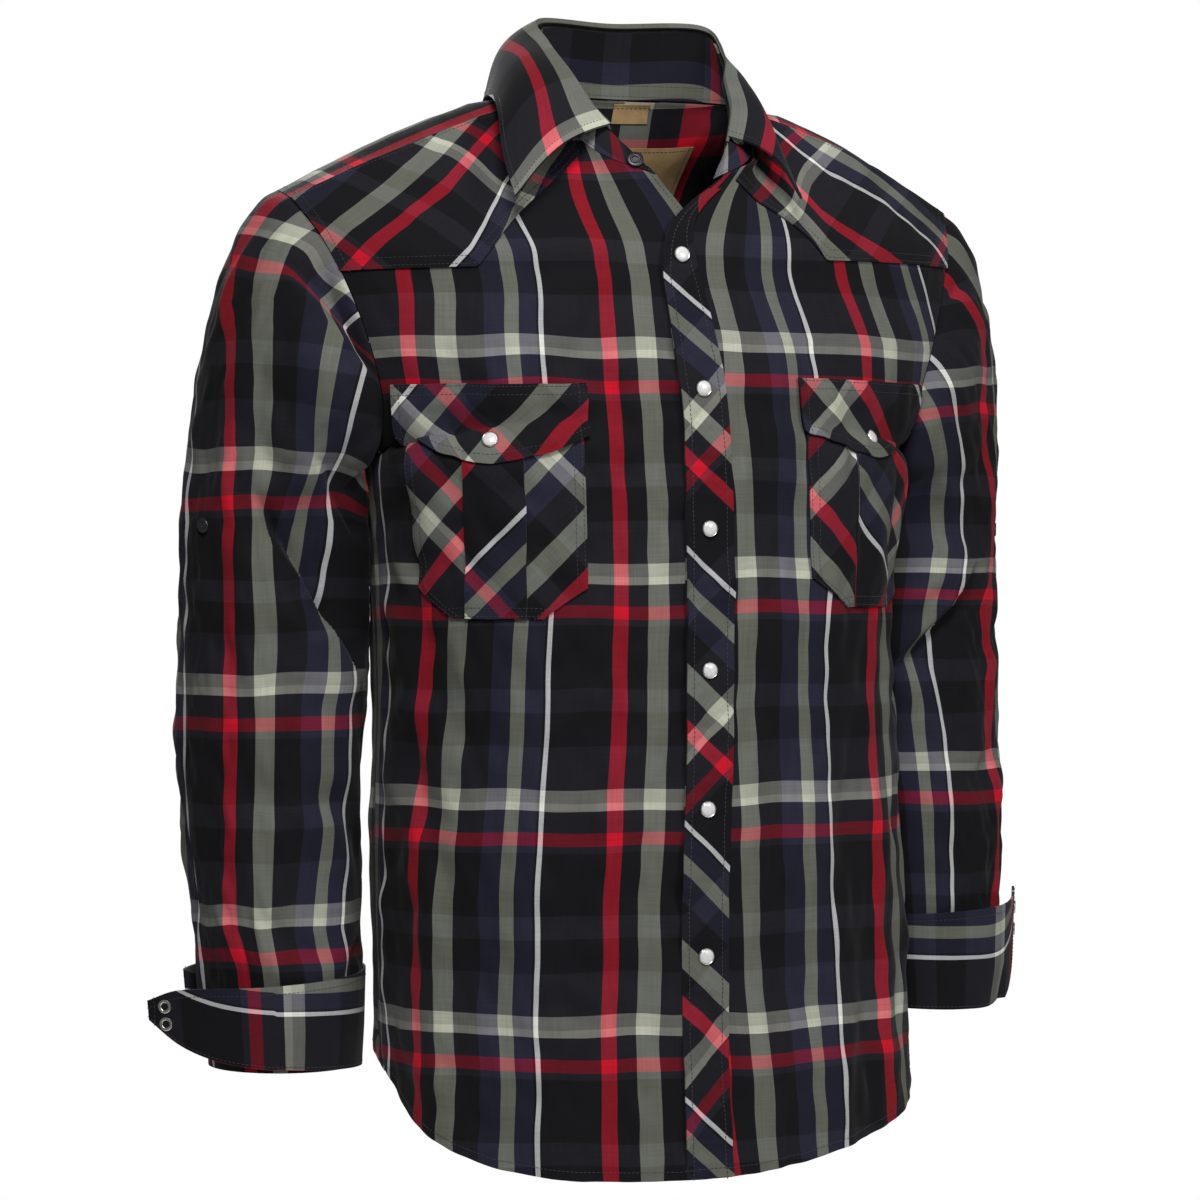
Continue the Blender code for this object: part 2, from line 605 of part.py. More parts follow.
def sleeve_grid(side, cap_rows, arm_rows):
    """Outer face of a sleeve: its cap from the armhole, then the rings of the arm."""
    start = armhole_ring(side)
    first = sleeve_ring(side, 0.0)
    count = len(start)
    turn = np.arange(count) / count * 2 * np.pi
    top = ((1 - np.cos(turn)) / 2)[:, None]
    leave = (np.array(LEAVE_TOP) * top + np.array(LEAVE_UNDER) * (1 - top)) * (side, 1, 1)
    leave = leave + np.array(LEAVE_FRONT) * np.sin(turn)[:, None]
    arrive = np.array(ARRIVE_TOP) * top + np.array(ARRIVE_UNDER) * (1 - top)
    rings = []
    for t in cap_rows:
        rings.append((2 * t**3 - 3 * t**2 + 1) * start + (t**3 - 2 * t**2 + t) * leave
                     + (3 * t**2 - 2 * t**3) * first + (t**3 - t**2) * arrive)
    for t in arm_rows:
        ring = sleeve_ring(side, t)
        share = (ring[:, 2] - SLEEVE[0][2]) / (SLEEVE[-1][2] - SLEEVE[0][2])
        ring[:, 2] = SLEEVE[0][2] + share * (SLEEVE_END[side] - SLEEVE[0][2])
        rings.append(ring)
    return np.array(rings)


def kept_clear(grid, side, gap, low_gap):
    """Points of a sleeve or cuff, moved off the trunk where they come nearer than the gap."""
    grid = grid.copy()
    table = np.array(TRUNK)
    top, bottom = TRUNK[-1][0], TRUNK[0][0]
    for point in grid.reshape(-1, 3):
        if point[2] > top + 0.004:
            continue
        height = top + (point[2] - top) * (bottom - top) / (SIDE_HEM[side] - top)
        row = [np.interp(height, table[:, 0], table[:, k]) for k in range(7)]
        x, y = ring_point(row, np.linspace(40, 140, 101))
        wall = np.interp(point[1], y, x) + side * row[5]
        room = np.interp(point[2], (-0.56, -0.50), (low_gap, gap))
        if side * point[0] < wall + room:
            point[0] = side * (wall + room)
    return grid


# Large folds of the sleeves, as straight creases on the unrolled sleeve. Directions are as in the
# sleeve's rings, 0 towards the trunk and 90 in front.
FOLDS = (
    # degrees, z, degrees, z, depth, width
    (118, -0.100, 48, -0.190, 0.0090, 0.019),
    (112, -0.275, 48, -0.392, 0.0080, 0.020),
    (255, -0.270, 320, -0.380, 0.0070, 0.020),
    (240, -0.110, 300, -0.190, 0.0060, 0.020),
    (75, -0.455, 20, -0.500, 0.0030, 0.016),
)


def sleeve_folds(side, grid):
    """How far the folds move each point of the sleeve inwards."""
    outward = normals(grid[::-1] if side > 0 else grid[::-1, ::-1], True)
    outward = outward[::-1] if side > 0 else outward[::-1, ::-1]
    degrees = np.arange(grid.shape[1]) / grid.shape[1] * 360 + 0 * grid[..., 2]
    radius = SLEEVE[0][3]
    sunk = 0 * degrees
    for angle_a, z_a, angle_b, z_b, depth, width in FOLDS:
        run = np.radians(degrees - angle_a) * radius
        rise = grid[..., 2] - z_a
        along = np.array((np.radians(angle_b - angle_a) * radius, z_b - z_a))
        length = np.hypot(*along)
        along = along / length
        place = np.clip(run * along[0] + rise * along[1], 0, length)
        off = np.hypot(run - along[0] * place, rise - along[1] * place)
        sunk = sunk + depth * np.exp(-(off / width) ** 2)
    return -outward * sunk[..., None]


def sleeve(side):
    cap_rows = (0.0, 0.10, 0.22, 0.36, 0.52, 0.68, 0.84)
    grid = sleeve_grid(side, cap_rows, np.linspace(0, 1, 11))
    grid[1:] = kept_clear(grid[1:] + sleeve_folds(side, grid)[1:], side, SLEEVE_GAP, SLEEVE_LOW_GAP)
    grid = trimmed(grid, bottom=SEAM * 1.5)[::-1]
    if side < 0:
        grid = grid[:, ::-1]
    name = "sleeve_left" if side > 0 else "sleeve_right"
    shell(name, grid, CLOTH, BLACK_PLAID, wrap=True)
    return grid


# Turned-back cuff of each side, from its back end round the inner side to the front end, which
# flies out: direction from the inner side (90 is in front), how far it stands off the sleeve,
# how far the fold has risen and how far the top edge has dropped there.
CUFF = {
    1: (
        # degrees, off, rise, drop
        (-160, 0.012, 0.010, 0.002),
        (-130, 0.0050, 0.003, 0.000),
        (-90, 0.0036, 0.000, 0.000),
        (-45, 0.0034, 0.000, 0.000),
        (0, 0.0034, 0.000, 0.000),
        (45, 0.0036, 0.000, 0.000),
        (90, 0.0045, -0.001, -0.002),
        (125, 0.0070, 0.000, -0.004),
        (148, 0.0090, 0.010, -0.006),
        (162, 0.0120, 0.030, -0.009),
        (172, 0.0150, 0.056, -0.014),
    ),
    -1: (
        # degrees, off, rise, drop
        (-160, 0.012, 0.012, 0.002),
        (-130, 0.0060, 0.004, 0.000),
        (-90, 0.0040, 0.000, 0.000),
        (-45, 0.0034, 0.000, 0.000),
        (0, 0.0034, 0.000, 0.000),
        (45, 0.0040, 0.001, 0.003),
        (90, 0.0060, 0.003, 0.006),
        (120, 0.0100, 0.005, 0.008),
        (145, 0.0190, 0.010, 0.009),
        (162, 0.0310, 0.020, 0.011),
        (172, 0.0440, 0.036, 0.018),
    ),
}


def cuff_grid(side, rows, columns):
    """Outer face of a turned-back cuff, from its fold up to its free edge."""
    angle, off, rise, drop = spline(CUFF[side], columns).T
    angle = np.radians(angle)
    low = SLEEVE_END[side] - 0.001 + rise
    high = SLEEVE_END[side] + CUFF_HEIGHT - drop
    table = np.array(SLEEVE)[::-1]
    grid = np.empty((len(rows), len(columns), 3))
    for i, t in enumerate(rows):
        z = low + (high - low) * t
        x, y, half_width, half_depth, lean = [np.interp(z, table[:, 2], table[:, k])
                                              for k in (0, 1, 3, 4, 5)]
        close = np.where(off < 0.008, np.minimum(off, DOUBLE + LIFT + SEAM), off)
        reach = close + (off - close) * np.clip(t * 2.5, 0, 1)
        grid[i, :, 0] = lean + side * (x - (half_width + reach) * np.cos(angle))
        grid[i, :, 1] = y - (half_depth + reach) * np.sin(angle)
        grid[i, :, 2] = z
    return grid


def cuff(side):
    grid = cuff_grid(side, np.linspace(0, 1, 4), np.linspace(0, 1, 25))
    grid = kept_clear(grid, side, CUFF_GAP, CUFF_GAP)
    if side < 0:
        grid = grid[:, ::-1]
    name = "cuff_left" if side > 0 else "cuff_right"
    return shell(name, grid, DOUBLE, COLLAR_PLAID)


# ---------------------------------------------------------------- collar
COLLAR_ROLL = 0.005        # how far the collar rises above the top of the stand
LEAF_START = 0.062         # the leaf ends this share of the neck behind the stand's right end
STAND_ROWS, STAND_BOW = (0.045, 0.33, 0.66, 1.0), 0.0012    # rows from seam to top, and their bow
LEAF_ROWS = (1.0, 0.75, 0.5, 0.28, 0.10, 0.0)       # rows from the leaf's outer edge to its fold
CREST_OUT, CREST_UP = 0.0016, 0.0018                # outer face of the fold, from the fold line
BULGE_OUT, BULGE_UP = 0.012, 0.006                  # how far the leaf arches between fold and edge


def stand():
    stops = (0.0, SHOULDER_NECK[-1], 0.5, SHOULDER_NECK[1], 1.0)
    quarter = np.arange(COLUMNS_NECK) / COLUMNS_NECK
    along = np.concatenate([a + quarter * (b - a) for a, b in zip(stops, stops[1:])] + [[1.0]])[::-1]
    table = spline(NECK, along)
    low, high = table[:, 0:3], table[:, 3:6] - (0, 0, COLLAR_ROLL)
    grid = np.array([low + (high - low) * t for t in STAND_ROWS])
    bow = np.array((0.0, STAND_BOW, STAND_BOW, 0.0))[:, None, None]
    grid = grid + normals(grid) * bow
    shell("collar_stand", grid, DOUBLE, COLLAR_PLAID)
    return grid


def leaf_grid(along, rows):
    """Outer face of the collar's leaf, from its outer edge up over the fold to the stand."""
    fold = spline(NECK, LEAF_START + along * (1 - LEAF_START))[:, 3:6]
    edge = spline(NECK, along)[:, 6:9]
    out = edge - fold
    out[:, 2] = 0
    out /= np.linalg.norm(out, axis=1, keepdims=True)
    crest = fold + out * CREST_OUT + (0, 0, CREST_UP)
    grid = []
    for t in rows:
        reach = edge - crest
        bulge = out * BULGE_OUT + np.array((0, 0, BULGE_UP))
        fall = crest + reach * t + bulge * np.sin(np.pi * t) * (1 - 0.5 * t)
        grid.append(fall)
    grid.append(fold - out * 0.0002 - (0, 0, COLLAR_ROLL - 0.0025))
    return np.array(grid)


def leaf():
    return shell("collar_leaf", leaf_grid(np.linspace(1, 0, 25), LEAF_ROWS), DOUBLE, COLLAR_PLAID)


# ---------------------------------------------------------------- placket, pockets, flaps
PLACKET = (
    # height, width
    (-0.80, 0.033),
    (-0.25, 0.033),
    (-0.18, 0.032),
    (-0.12, 0.027),
    (-0.09, 0.018),
    (-0.06, 0.010),
)
POCKET_START = LAP + POCKET_INNER       # from a front's edge to its pocket
POCKET_EXTRA = {1: 0.0, -1: 0.005}      # how much farther out a side's pocket and flap are
POCKET_MIDDLE = {side: POCKET_START + POCKET_WIDTH / 2 + extra for side, extra in POCKET_EXTRA.items()}
PLEAT_WIDTH, PLEAT_RISE = 0.040, 0.0012
PLEAT_SHY = 0.0004                      # how much the pleat's raised strip stops short of the hem


def placket(panel):
    """Bias strip along the edge of the left front, narrower where the neck falls open."""
    level = np.zeros(panel.coarse.shape[:2])
    made = panel.layer("placket", level + LIFT, level + CLOTH, YOKE_PLAID)
    edge = []
    for height in np.concatenate([np.linspace(FRONT_HEM - 0.01, -0.25, 12),
                                  (-0.21, -0.18, -0.15, -0.12, -0.09, -0.075, -0.06)]):
        edge.append((panel.at(np.interp(height, *np.array(PLACKET).T), height)[0], height))
    return cut_to(made, [(-0.06, FRONT_HEM - 0.01)] + edge + [(-0.06, edge[-1][1])])


def box_outline(panel, start, end, low, high, clip=0.0):
    """Upright box on a front, between two distances and heights, with clipped lower corners."""
    corners = [(start + clip, low), (end - clip, low)]
    if clip:
        corners += [(end, low + clip)]
    corners += [(end, z) for z in np.linspace(low + clip, high, 5)[1:]]
    corners += [(start, z) for z in np.linspace(high, low + clip, 5)]
    return panel.outline(corners)


def pocket(panel, name):
    """Pocket with a box pleat, a raised strip down its middle, and clipped lower corners."""
    level = np.zeros(panel.coarse.shape[:2])
    made = panel.layer(name, level + LIFT, level + CLOTH, YOKE_PLAID)
    low, high = POCKET_BOTTOM + RAISED[panel.side], POCKET_TOP + RAISED[panel.side]
    middle = POCKET_MIDDLE[panel.side]
    cut_to(made, box_outline(panel, middle - POCKET_WIDTH / 2, middle + POCKET_WIDTH / 2, low, high, POCKET_CLIP))
    pleat = panel.layer(name + "_pleat", level + LIFT + CLOTH / 2, level + CLOTH / 2 + PLEAT_RISE,
                        YOKE_PLAID)
    cut_to(pleat, box_outline(panel, middle - PLEAT_WIDTH / 2, middle + PLEAT_WIDTH / 2,
                              low + PLEAT_SHY, high - PLEAT_SHY))
    combine(made, pleat, "UNION")
    return made


def flap(panel, name):
    """Pointed flap over a pocket, close to the front along its top edge, where it is sewn."""
    top = FLAP_TOP + RAISED[panel.side]
    clear = np.clip((top + FLAP_RISE_START - panel.coarse[..., 2]) / FLAP_RISE, 0, 1)
    lift = LIFT + clear * (CLOTH + PLEAT_RISE + LIFT)
    made = panel.layer(name, lift, 0 * lift + CLOTH, YOKE_PLAID)
    half = POCKET_WIDTH / 2 + FLAP_OVERHANG
    middle = POCKET_MIDDLE[panel.side]
    corners = [(middle + half * t, top) for t in np.linspace(1, -1, 7)]
    for t in np.linspace(-1, 1, 13):
        drop = FLAP_SIDE - FLAP_TOP + (FLAP_POINT - FLAP_SIDE) * (1 - abs(t) ** 1.4)
        corners.append((middle + half * t, top + drop))
    return cut_to(made, panel.outline(corners))


# ---------------------------------------------------------------- snaps and buttons
def disc(name, point, normal, diameter, height, finish, gap=SEAM):
    """Round cap with a rounded rim, standing on a surface point along its normal."""
    normal = normal / np.linalg.norm(normal)
    side = np.cross(normal, (0, 0, 1))
    side /= np.linalg.norm(side)
    up = np.cross(side, normal)
    radius = diameter / 2
    profile = ((radius * 0.94, 0.0), (radius, height * 0.45), (radius * 0.72, height * 0.92))
    turns = 14
    points = []
    for reach, rise in profile:
        for k in range(turns):
            angle = 2 * np.pi * k / turns
            around = side * np.cos(angle) + up * np.sin(angle)
            points.append(point + around * reach + normal * (gap + rise))
    points.append(point + normal * gap)
    points.append(point + normal * (gap + height))
    faces = []
    for ring in range(len(profile) - 1):
        for k in range(turns):
            a, b = ring * turns + k, ring * turns + (k + 1) % turns
            faces.append((a, a + turns, b + turns, b))
    last = (len(profile) - 1) * turns
    for k in range(turns):
        faces.append((k, (k + 1) % turns, len(points) - 2))
        faces.append((last + (k + 1) % turns, last + k, len(points) - 1))
    return add_mesh(name, points, faces, finish)


def on_grid(grid, i, j):
    """Point and outward normal at a fractional row and column of a piece's outer face."""
    dense = denser(denser(grid, 0, 8), 1, 8)
    row, column = int(round(i * 8)), int(round(j * 8))
    return dense[row, column], normals(dense)[row, column]


def cuff_snaps(side):
    """Prong rings of the snaps at both ends of a turned-back cuff."""
    columns = np.linspace(0, 1, 25)
    grid = kept_clear(cuff_grid(side, np.linspace(0, 1, 4), columns), side, CUFF_GAP, CUFF_GAP)
    grid = grid if side > 0 else grid[:, ::-1]
    word = "left" if side > 0 else "right"
    for end, column in (("back", 1.25), ("front", 22.5)):
        column = column if side > 0 else 24 - column
        for number, row in ((1, 0.9), (2, 2.1)):
            place, facing = on_grid(grid, row, column)
            name = "cuff_snap_%s_%s_%d" % (word, end, number)
            disc(name, place, facing, RING_DIAMETER, RING_HEIGHT, STEEL, SEAM + 0.0002)


def tab_button(side, grid):
    """Button of the roll-up tab, on the outer side of the upper sleeve."""
    row = int(np.argmin(np.abs(grid[:, TAB_COLUMN, 2] - TAB_HEIGHT)))
    column = TAB_COLUMN - TAB_FORWARD
    place, facing = on_grid(grid, row + TAB_RAISED, column if side > 0 else grid.shape[1] - 1 - column)
    name = "tab_button_left" if side > 0 else "tab_button_right"
    disc(name, place, facing, BUTTON_DIAMETER, BUTTON_HEIGHT, DARK_RESIN)


# ---------------------------------------------------------------- put together
left, right = Panel(1), Panel(-1)
front(1)
front(-1)
front_yoke(left)
front_yoke(right)
back_and_yoke()
for side in (1, -1):
    tab_button(side, sleeve(side))
    cuff(side)
    cuff_snaps(side)
stand_grid = stand()
leaf()
placket(left)
pocket(left, "pocket_left")
pocket(right, "pocket_right")
flap(left, "flap_left")
flap(right, "flap_right")
label("label_size", 0.015, 0.0395, 0.0195, 0.0065, KRAFT)
label("label_neck", 0.016, 0.070, -0.010, -0.060, KRAFT)
for number, height in enumerate(SNAP_HEIGHTS, 1):
    centre = TOP_SNAP_INSET if number == 1 else LAP
    facing = left.facing(centre, height)
    place = left.at(centre, height) + facing * (LIFT + CLOTH)
    disc("snap_%d" % number, place, facing, SNAP_DIAMETER, SNAP_HEIGHT, PEARL)
for panel, name in ((left, "snap_flap_left"), (right, "snap_flap_right")):
    height = FLAP_POINT + FLAP_SNAP_INSET + RAISED[panel.side]
    facing = panel.facing(POCKET_MIDDLE[panel.side], height)
    place = panel.at(POCKET_MIDDLE[panel.side], height)
    place = place + facing * (2 * LIFT + 2 * CLOTH + PLEAT_RISE)
    disc(name, place, facing, SNAP_DIAMETER, SNAP_HEIGHT, PEARL)
last = stand_grid.shape[1] - 1
for name, row, column, finish in (("snap_stand", 1.3, last - 0.35, STEEL),
                                  ("snap_stand_cap", 1.6, 1.4, PEARL)):
    place, facing = on_grid(stand_grid, row, column)
    disc(name, place, facing, SNAP_DIAMETER, SNAP_HEIGHT, finish, 2 * SEAM)
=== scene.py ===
"""Looks of a western snap shirt, filled out as it is worn: cloth, stitching, snaps and buttons.

Metres, +Z up, +X to the wearer's left, -Y in front. The sections follow the order in which the
shirt is cut and sewn together.
"""

import bmesh
import bpy
import numpy as np
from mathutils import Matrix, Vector
from mathutils.bvhtree import BVHTree


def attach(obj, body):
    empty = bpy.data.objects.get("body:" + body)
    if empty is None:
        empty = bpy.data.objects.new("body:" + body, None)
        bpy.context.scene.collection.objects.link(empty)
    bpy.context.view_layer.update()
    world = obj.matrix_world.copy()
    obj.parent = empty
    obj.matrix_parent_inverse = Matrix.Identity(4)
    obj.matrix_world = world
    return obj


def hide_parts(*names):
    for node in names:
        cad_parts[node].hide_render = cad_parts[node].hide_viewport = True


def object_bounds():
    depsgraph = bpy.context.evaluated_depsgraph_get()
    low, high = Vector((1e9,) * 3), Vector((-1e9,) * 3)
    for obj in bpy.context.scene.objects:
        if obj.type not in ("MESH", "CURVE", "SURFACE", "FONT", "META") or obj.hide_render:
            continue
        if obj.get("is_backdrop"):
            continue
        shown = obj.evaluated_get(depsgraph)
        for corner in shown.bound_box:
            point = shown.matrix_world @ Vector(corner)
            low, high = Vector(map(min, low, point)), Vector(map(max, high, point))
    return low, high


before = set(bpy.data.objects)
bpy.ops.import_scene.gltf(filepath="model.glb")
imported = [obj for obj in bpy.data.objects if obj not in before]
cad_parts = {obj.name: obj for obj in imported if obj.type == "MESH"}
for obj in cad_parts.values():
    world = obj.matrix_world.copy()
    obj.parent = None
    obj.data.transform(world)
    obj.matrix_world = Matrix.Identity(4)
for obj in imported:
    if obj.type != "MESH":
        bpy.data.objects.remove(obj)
frame_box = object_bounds()

# ------------------------------------------------------------------------------------------------
# Studio: the shirt hangs above a plain white floor in soft light, and is seen from its right
# front. A broad lamp stands to the left of the camera and a weaker one to its right.
view = bpy.data.cameras.new("camera")
view.sensor_width = 36.0
view.lens = 104.4
view.shift_y = -25 / 1200       # the lens axis meets the frame 25 of its 1200 pixels off its middle
camera = bpy.data.objects.new("camera", view)
camera.location = (-0.8788, -2.2334, -0.3145)
camera.rotation_euler = np.radians((90, 0, -21))
bpy.context.scene.collection.objects.link(camera)
bpy.context.scene.camera = camera
bpy.context.scene.view_settings.view_transform = "Standard"


def colour(code):
    """Linear colour of an sRGB hex code, with alpha 1."""
    parts = np.array([int(code[k:k + 2], 16) for k in (1, 3, 5)]) / 255
    linear = np.where(parts <= 0.04045, parts / 12.92, ((parts + 0.055) / 1.055) ** 2.4)
    return (*linear.tolist(), 1.0)


def add(tree, kind, inputs=(), **settings):
    """Adds a node with its settings; each input is a value or the socket that feeds it."""
    made = tree.nodes.new(kind)
    for key, value in settings.items():
        setattr(made, key, value)
    for key, value in dict(inputs).items():
        if isinstance(value, bpy.types.NodeSocket):
            tree.links.new(value, made.inputs[key])
        else:
            made.inputs[key].default_value = value
    return made


def new_material(name):
    """New material, with its node tree and its shader."""
    made = bpy.data.materials.new(name)
    made.use_nodes = True
    return made, made.node_tree, made.node_tree.nodes["Principled BSDF"]


def add_lamp(name, place, target, size, power):
    """Round soft lamp that points at a target, with its width in metres and power in watts."""
    lamp = bpy.data.lights.new(name, "AREA")
    lamp.shape = "DISK"
    lamp.size = size
    lamp.energy = power
    made = bpy.data.objects.new(name, lamp)
    made.location = place
    made.rotation_euler = (Vector(target) - Vector(place)).to_track_quat("-Z", "Y").to_euler()
    bpy.context.scene.collection.objects.link(made)


add_lamp("key", (-0.60, -1.60, 1.20), (0, 0, -0.05), 0.8, 33)
add_lamp("fill", (0.70, -2.0, 0.40), (0, 0, -0.10), 0.9, 14)
add_lamp("back", (0.4, 2.4, 1.2), (0, 0, -0.25), 1.4, 60)

# The room is white behind the shirt, and its light is weaker than its look, as in a studio whose
# lit backdrop stands far behind.
room = bpy.data.worlds.new("white room")
room.use_nodes = True
tree = room.node_tree
tree.nodes["Background"].inputs["Color"].default_value = (1, 1, 1, 1)
weak = add(tree, "ShaderNodeBackground", {"Color": (1, 1, 1, 1), "Strength": 0.16}).outputs[0]
seen = add(tree, "ShaderNodeLightPath").outputs["Is Camera Ray"]
both = add(tree, "ShaderNodeMixShader", {0: seen, 1: weak, 2: tree.nodes["Background"].outputs[0]})
tree.links.new(both.outputs[0], tree.nodes["World Output"].inputs["Surface"])
bpy.context.scene.world = room

# Round white painted board that lies under the shirt. Its matt paint has a fine roller stipple.
BOARD_RADIUS, BOARD_HEIGHT, BOARD_CORNERS = 0.56, -0.86, 96
floor_mesh = bpy.data.meshes.new("floor")
floor_mesh.from_pydata([(BOARD_RADIUS * np.cos(turn), BOARD_RADIUS * np.sin(turn), BOARD_HEIGHT)
                        for turn in np.linspace(0, 2 * np.pi, BOARD_CORNERS, endpoint=False)],
                       [], [tuple(range(BOARD_CORNERS))])
floor = bpy.data.objects.new("floor", floor_mesh)
bpy.context.scene.collection.objects.link(floor)
FLOOR_PAINT, tree, shader = new_material("matt white paint")
place = add(tree, "ShaderNodeTexCoord").outputs["Object"]
roller = add(tree, "ShaderNodeTexNoise", {"Vector": place, "Scale": 260.0, "Detail": 2.0})
stipple = add(tree, "ShaderNodeBump", {"Strength": 0.1, "Distance": 0.0005,
                                       "Height": roller.outputs["Fac"]})
tree.links.new(stipple.outputs[0], shader.inputs["Normal"])
shader.inputs["Base Color"].default_value = colour("#F7F7F7")
shader.inputs["Roughness"].default_value = 0.9
floor_mesh.materials.append(FLOOR_PAINT)
floor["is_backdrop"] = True

# ------------------------------------------------------------------------------------------------
# Cloth: yarn-dyed cotton in a plain weave, black with sage, navy, white and red stripes along the
# warp, and slate, grey and red ones along the weft. Where two stripes cross, the eye sees half of
# each yarn. All pieces are cut from it, and their UV map "cut" is their place on the bolt.
SAGE, INK, NAVY, WHITE, RED = "#ABAF9A", "#111114", "#27273F", "#FFFFFF", "#E8142C"
GREY, PALE, SLATE, ROSE = "#B0B0A6", "#DCDBCB", "#26262F", "#B21128"
WARP_REPEAT, WEFT_REPEAT = 0.138, 0.1495
WARP = (
    # mm from the start of the repeat, yarn
    (0.0, SAGE), (14.5, INK), (33.0, NAVY), (47.0, SAGE), (57.0, NAVY), (69.0, INK), (70.4, WHITE),
    (73.4, INK), (114.0, RED), (124.0, INK),
)
WEFT = (
    # mm down from the start of the repeat, yarn
    (0.0, GREY), (8.7, PALE), (13.7, SLATE), (28.5, ROSE), (37.0, SLATE), (41.5, INK),
    (84.0, SLATE), (99.0, INK), (121.0, SLATE),
)
YARN = 0.0011      # a yarn is really 0.3 mm; a group of them is drawn, which still shows
DISPLAY = 2.2      # yarns mix to the eye about as their display values do, not as their light does
STRAY = 0.0009     # how far a yarn strays off its line with its slubs
SLUB = 0.03        # a slub is this share as thick as it is long
WEFT_SHARE, WEFT_CHECK = 0.49, 0.045    # share of the weft that shows, and how the rib changes it
CORD_HIDES = 0.14  # how much less of the weft shows over the white cord
MIX_A, MIX_B, MIXED = 6, 7, 2           # sockets of a node that mixes two colours


def striped(tree, place, repeat, stripes):
    """Colour of the yarn at a place across the cloth, in metres."""
    share = add(tree, "ShaderNodeMath", {0: place, 1: repeat}, operation="DIVIDE").outputs[0]
    share = add(tree, "ShaderNodeMath", {0: share}, operation="FRACT").outputs[0]
    ramp = add(tree, "ShaderNodeValToRGB", {"Fac": share})
    ramp.color_ramp.interpolation = "CONSTANT"
    stops = ramp.color_ramp.elements
    stops.remove(stops[1])
    stops[0].color = colour(stripes[0][1])
    for start, yarn in stripes[1:]:
        stops.new(start / 1000 / repeat).color = colour(yarn)
    return ramp.outputs["Color"]


def woven(name):
    """Plaid cotton: stripes crossed half and half, with slubs, a fine rib and a soft nap. The white
    stripe is a thicker cord, which hides more of the weft."""
    made, tree, shader = new_material(name)
    place = add(tree, "ShaderNodeUVMap", uv_map="cut").outputs[0]
    split = add(tree, "ShaderNodeSeparateXYZ", {0: place})
    yarns, slubs, ribs = [], [], []
    for axis, stretch, repeat, stripes in (("X", (1.0, SLUB, 1.0), WARP_REPEAT, WARP),
                                           ("Y", (SLUB, 1.0, 1.0), WEFT_REPEAT, WEFT)):
        streak = add(tree, "ShaderNodeMapping", {"Vector": place, "Scale": stretch}).outputs[0]
        slub = add(tree, "ShaderNodeTexNoise", {"Vector": streak, "Scale": 1 / YARN, "Detail": 2.0})
        slubs.append(slub.outputs["Fac"])
        stray = add(tree, "ShaderNodeMath", {0: slubs[-1], 1: STRAY, 2: split.outputs[axis]},
                    operation="MULTIPLY_ADD")
        yarns.append(striped(tree, stray.outputs[0], repeat, stripes))
        turn = add(tree, "ShaderNodeMath", {0: split.outputs[axis], 1: 2 * np.pi / YARN},
                   operation="MULTIPLY")
        ribs.append(add(tree, "ShaderNodeMath", {0: turn.outputs[0]}, operation="SINE").outputs[0])
    cord = add(tree, "ShaderNodeMath", {0: yarns[0], 1: 0.9}, operation="GREATER_THAN").outputs[0]
    check = add(tree, "ShaderNodeMath", {0: ribs[0], 1: ribs[1]}, operation="MULTIPLY").outputs[0]
    over = add(tree, "ShaderNodeMath", {0: check, 1: WEFT_CHECK, 2: WEFT_SHARE},
               operation="MULTIPLY_ADD").outputs[0]
    over = add(tree, "ShaderNodeMath", {0: cord, 1: -CORD_HIDES, 2: over},
               operation="MULTIPLY_ADD").outputs[0]
    warp, weft = [add(tree, "ShaderNodeGamma", {"Color": yarn, "Gamma": 1 / DISPLAY}).outputs[0]
                  for yarn in yarns]
    both = add(tree, "ShaderNodeMix", {"Factor": over, MIX_A: warp, MIX_B: weft},
               data_type="RGBA").outputs[MIXED]
    both = add(tree, "ShaderNodeGamma", {"Color": both, "Gamma": DISPLAY}).outputs[0]
    thick = add(tree, "ShaderNodeMath", {0: slubs[0], 1: slubs[1]}, operation="ADD").outputs[0]
    shade = add(tree, "ShaderNodeMapRange", {"Value": thick, "From Min": 0.6, "From Max": 1.4,
                                             "To Min": 0.84, "To Max": 1.16}).outputs[0]
    faded = add(tree, "ShaderNodeVectorMath", {0: both, "Scale": shade}, operation="SCALE")
    tree.links.new(faded.outputs[0], shader.inputs["Base Color"])
    crumple = add(tree, "ShaderNodeTexNoise", {"Vector": place, "Scale": 38.0, "Detail": 3.0,
                                               "Roughness": 0.55}).outputs["Fac"]
    soft = add(tree, "ShaderNodeBump", {"Strength": 0.25, "Distance": 0.004, "Height": crumple})
    rough = add(tree, "ShaderNodeBump", {"Strength": 0.20, "Distance": 0.0003, "Height": check,
                                         "Normal": soft.outputs[0]})
    tree.links.new(rough.outputs[0], shader.inputs["Normal"])
    for title, value in (("Roughness", 0.82), ("Specular IOR Level", 0.14), ("Sheen Weight", 0.05),
                         ("Sheen Roughness", 0.45)):
        shader.inputs[title].default_value = value
    return made


PLAID = woven("yarn-dyed cotton plaid")

# ------------------------------------------------------------------------------------------------
# Thread: dark spun polyester, matt, sewn through the cloth in rows of short stitches. The same
# rows close the seams, fix the pockets and edge the collar.


def clouded(name, kind, texture, dark, light, looks):
    """Material whose colour wanders between two, with its tree, shader and the texture."""
    made, tree, shader = new_material(name)
    place = add(tree, "ShaderNodeTexCoord").outputs["Object"]
    cloud = add(tree, kind, {"Vector": place, **texture}).outputs["Fac"]
    tint = add(tree, "ShaderNodeMix", {"Factor": cloud, MIX_A: colour(dark), MIX_B: colour(light)},
               data_type="RGBA").outputs[MIXED]
    tree.links.new(tint, shader.inputs["Base Color"])
    for title, value in looks.items():
        shader.inputs[title].default_value = value
    return made, tree, shader, cloud


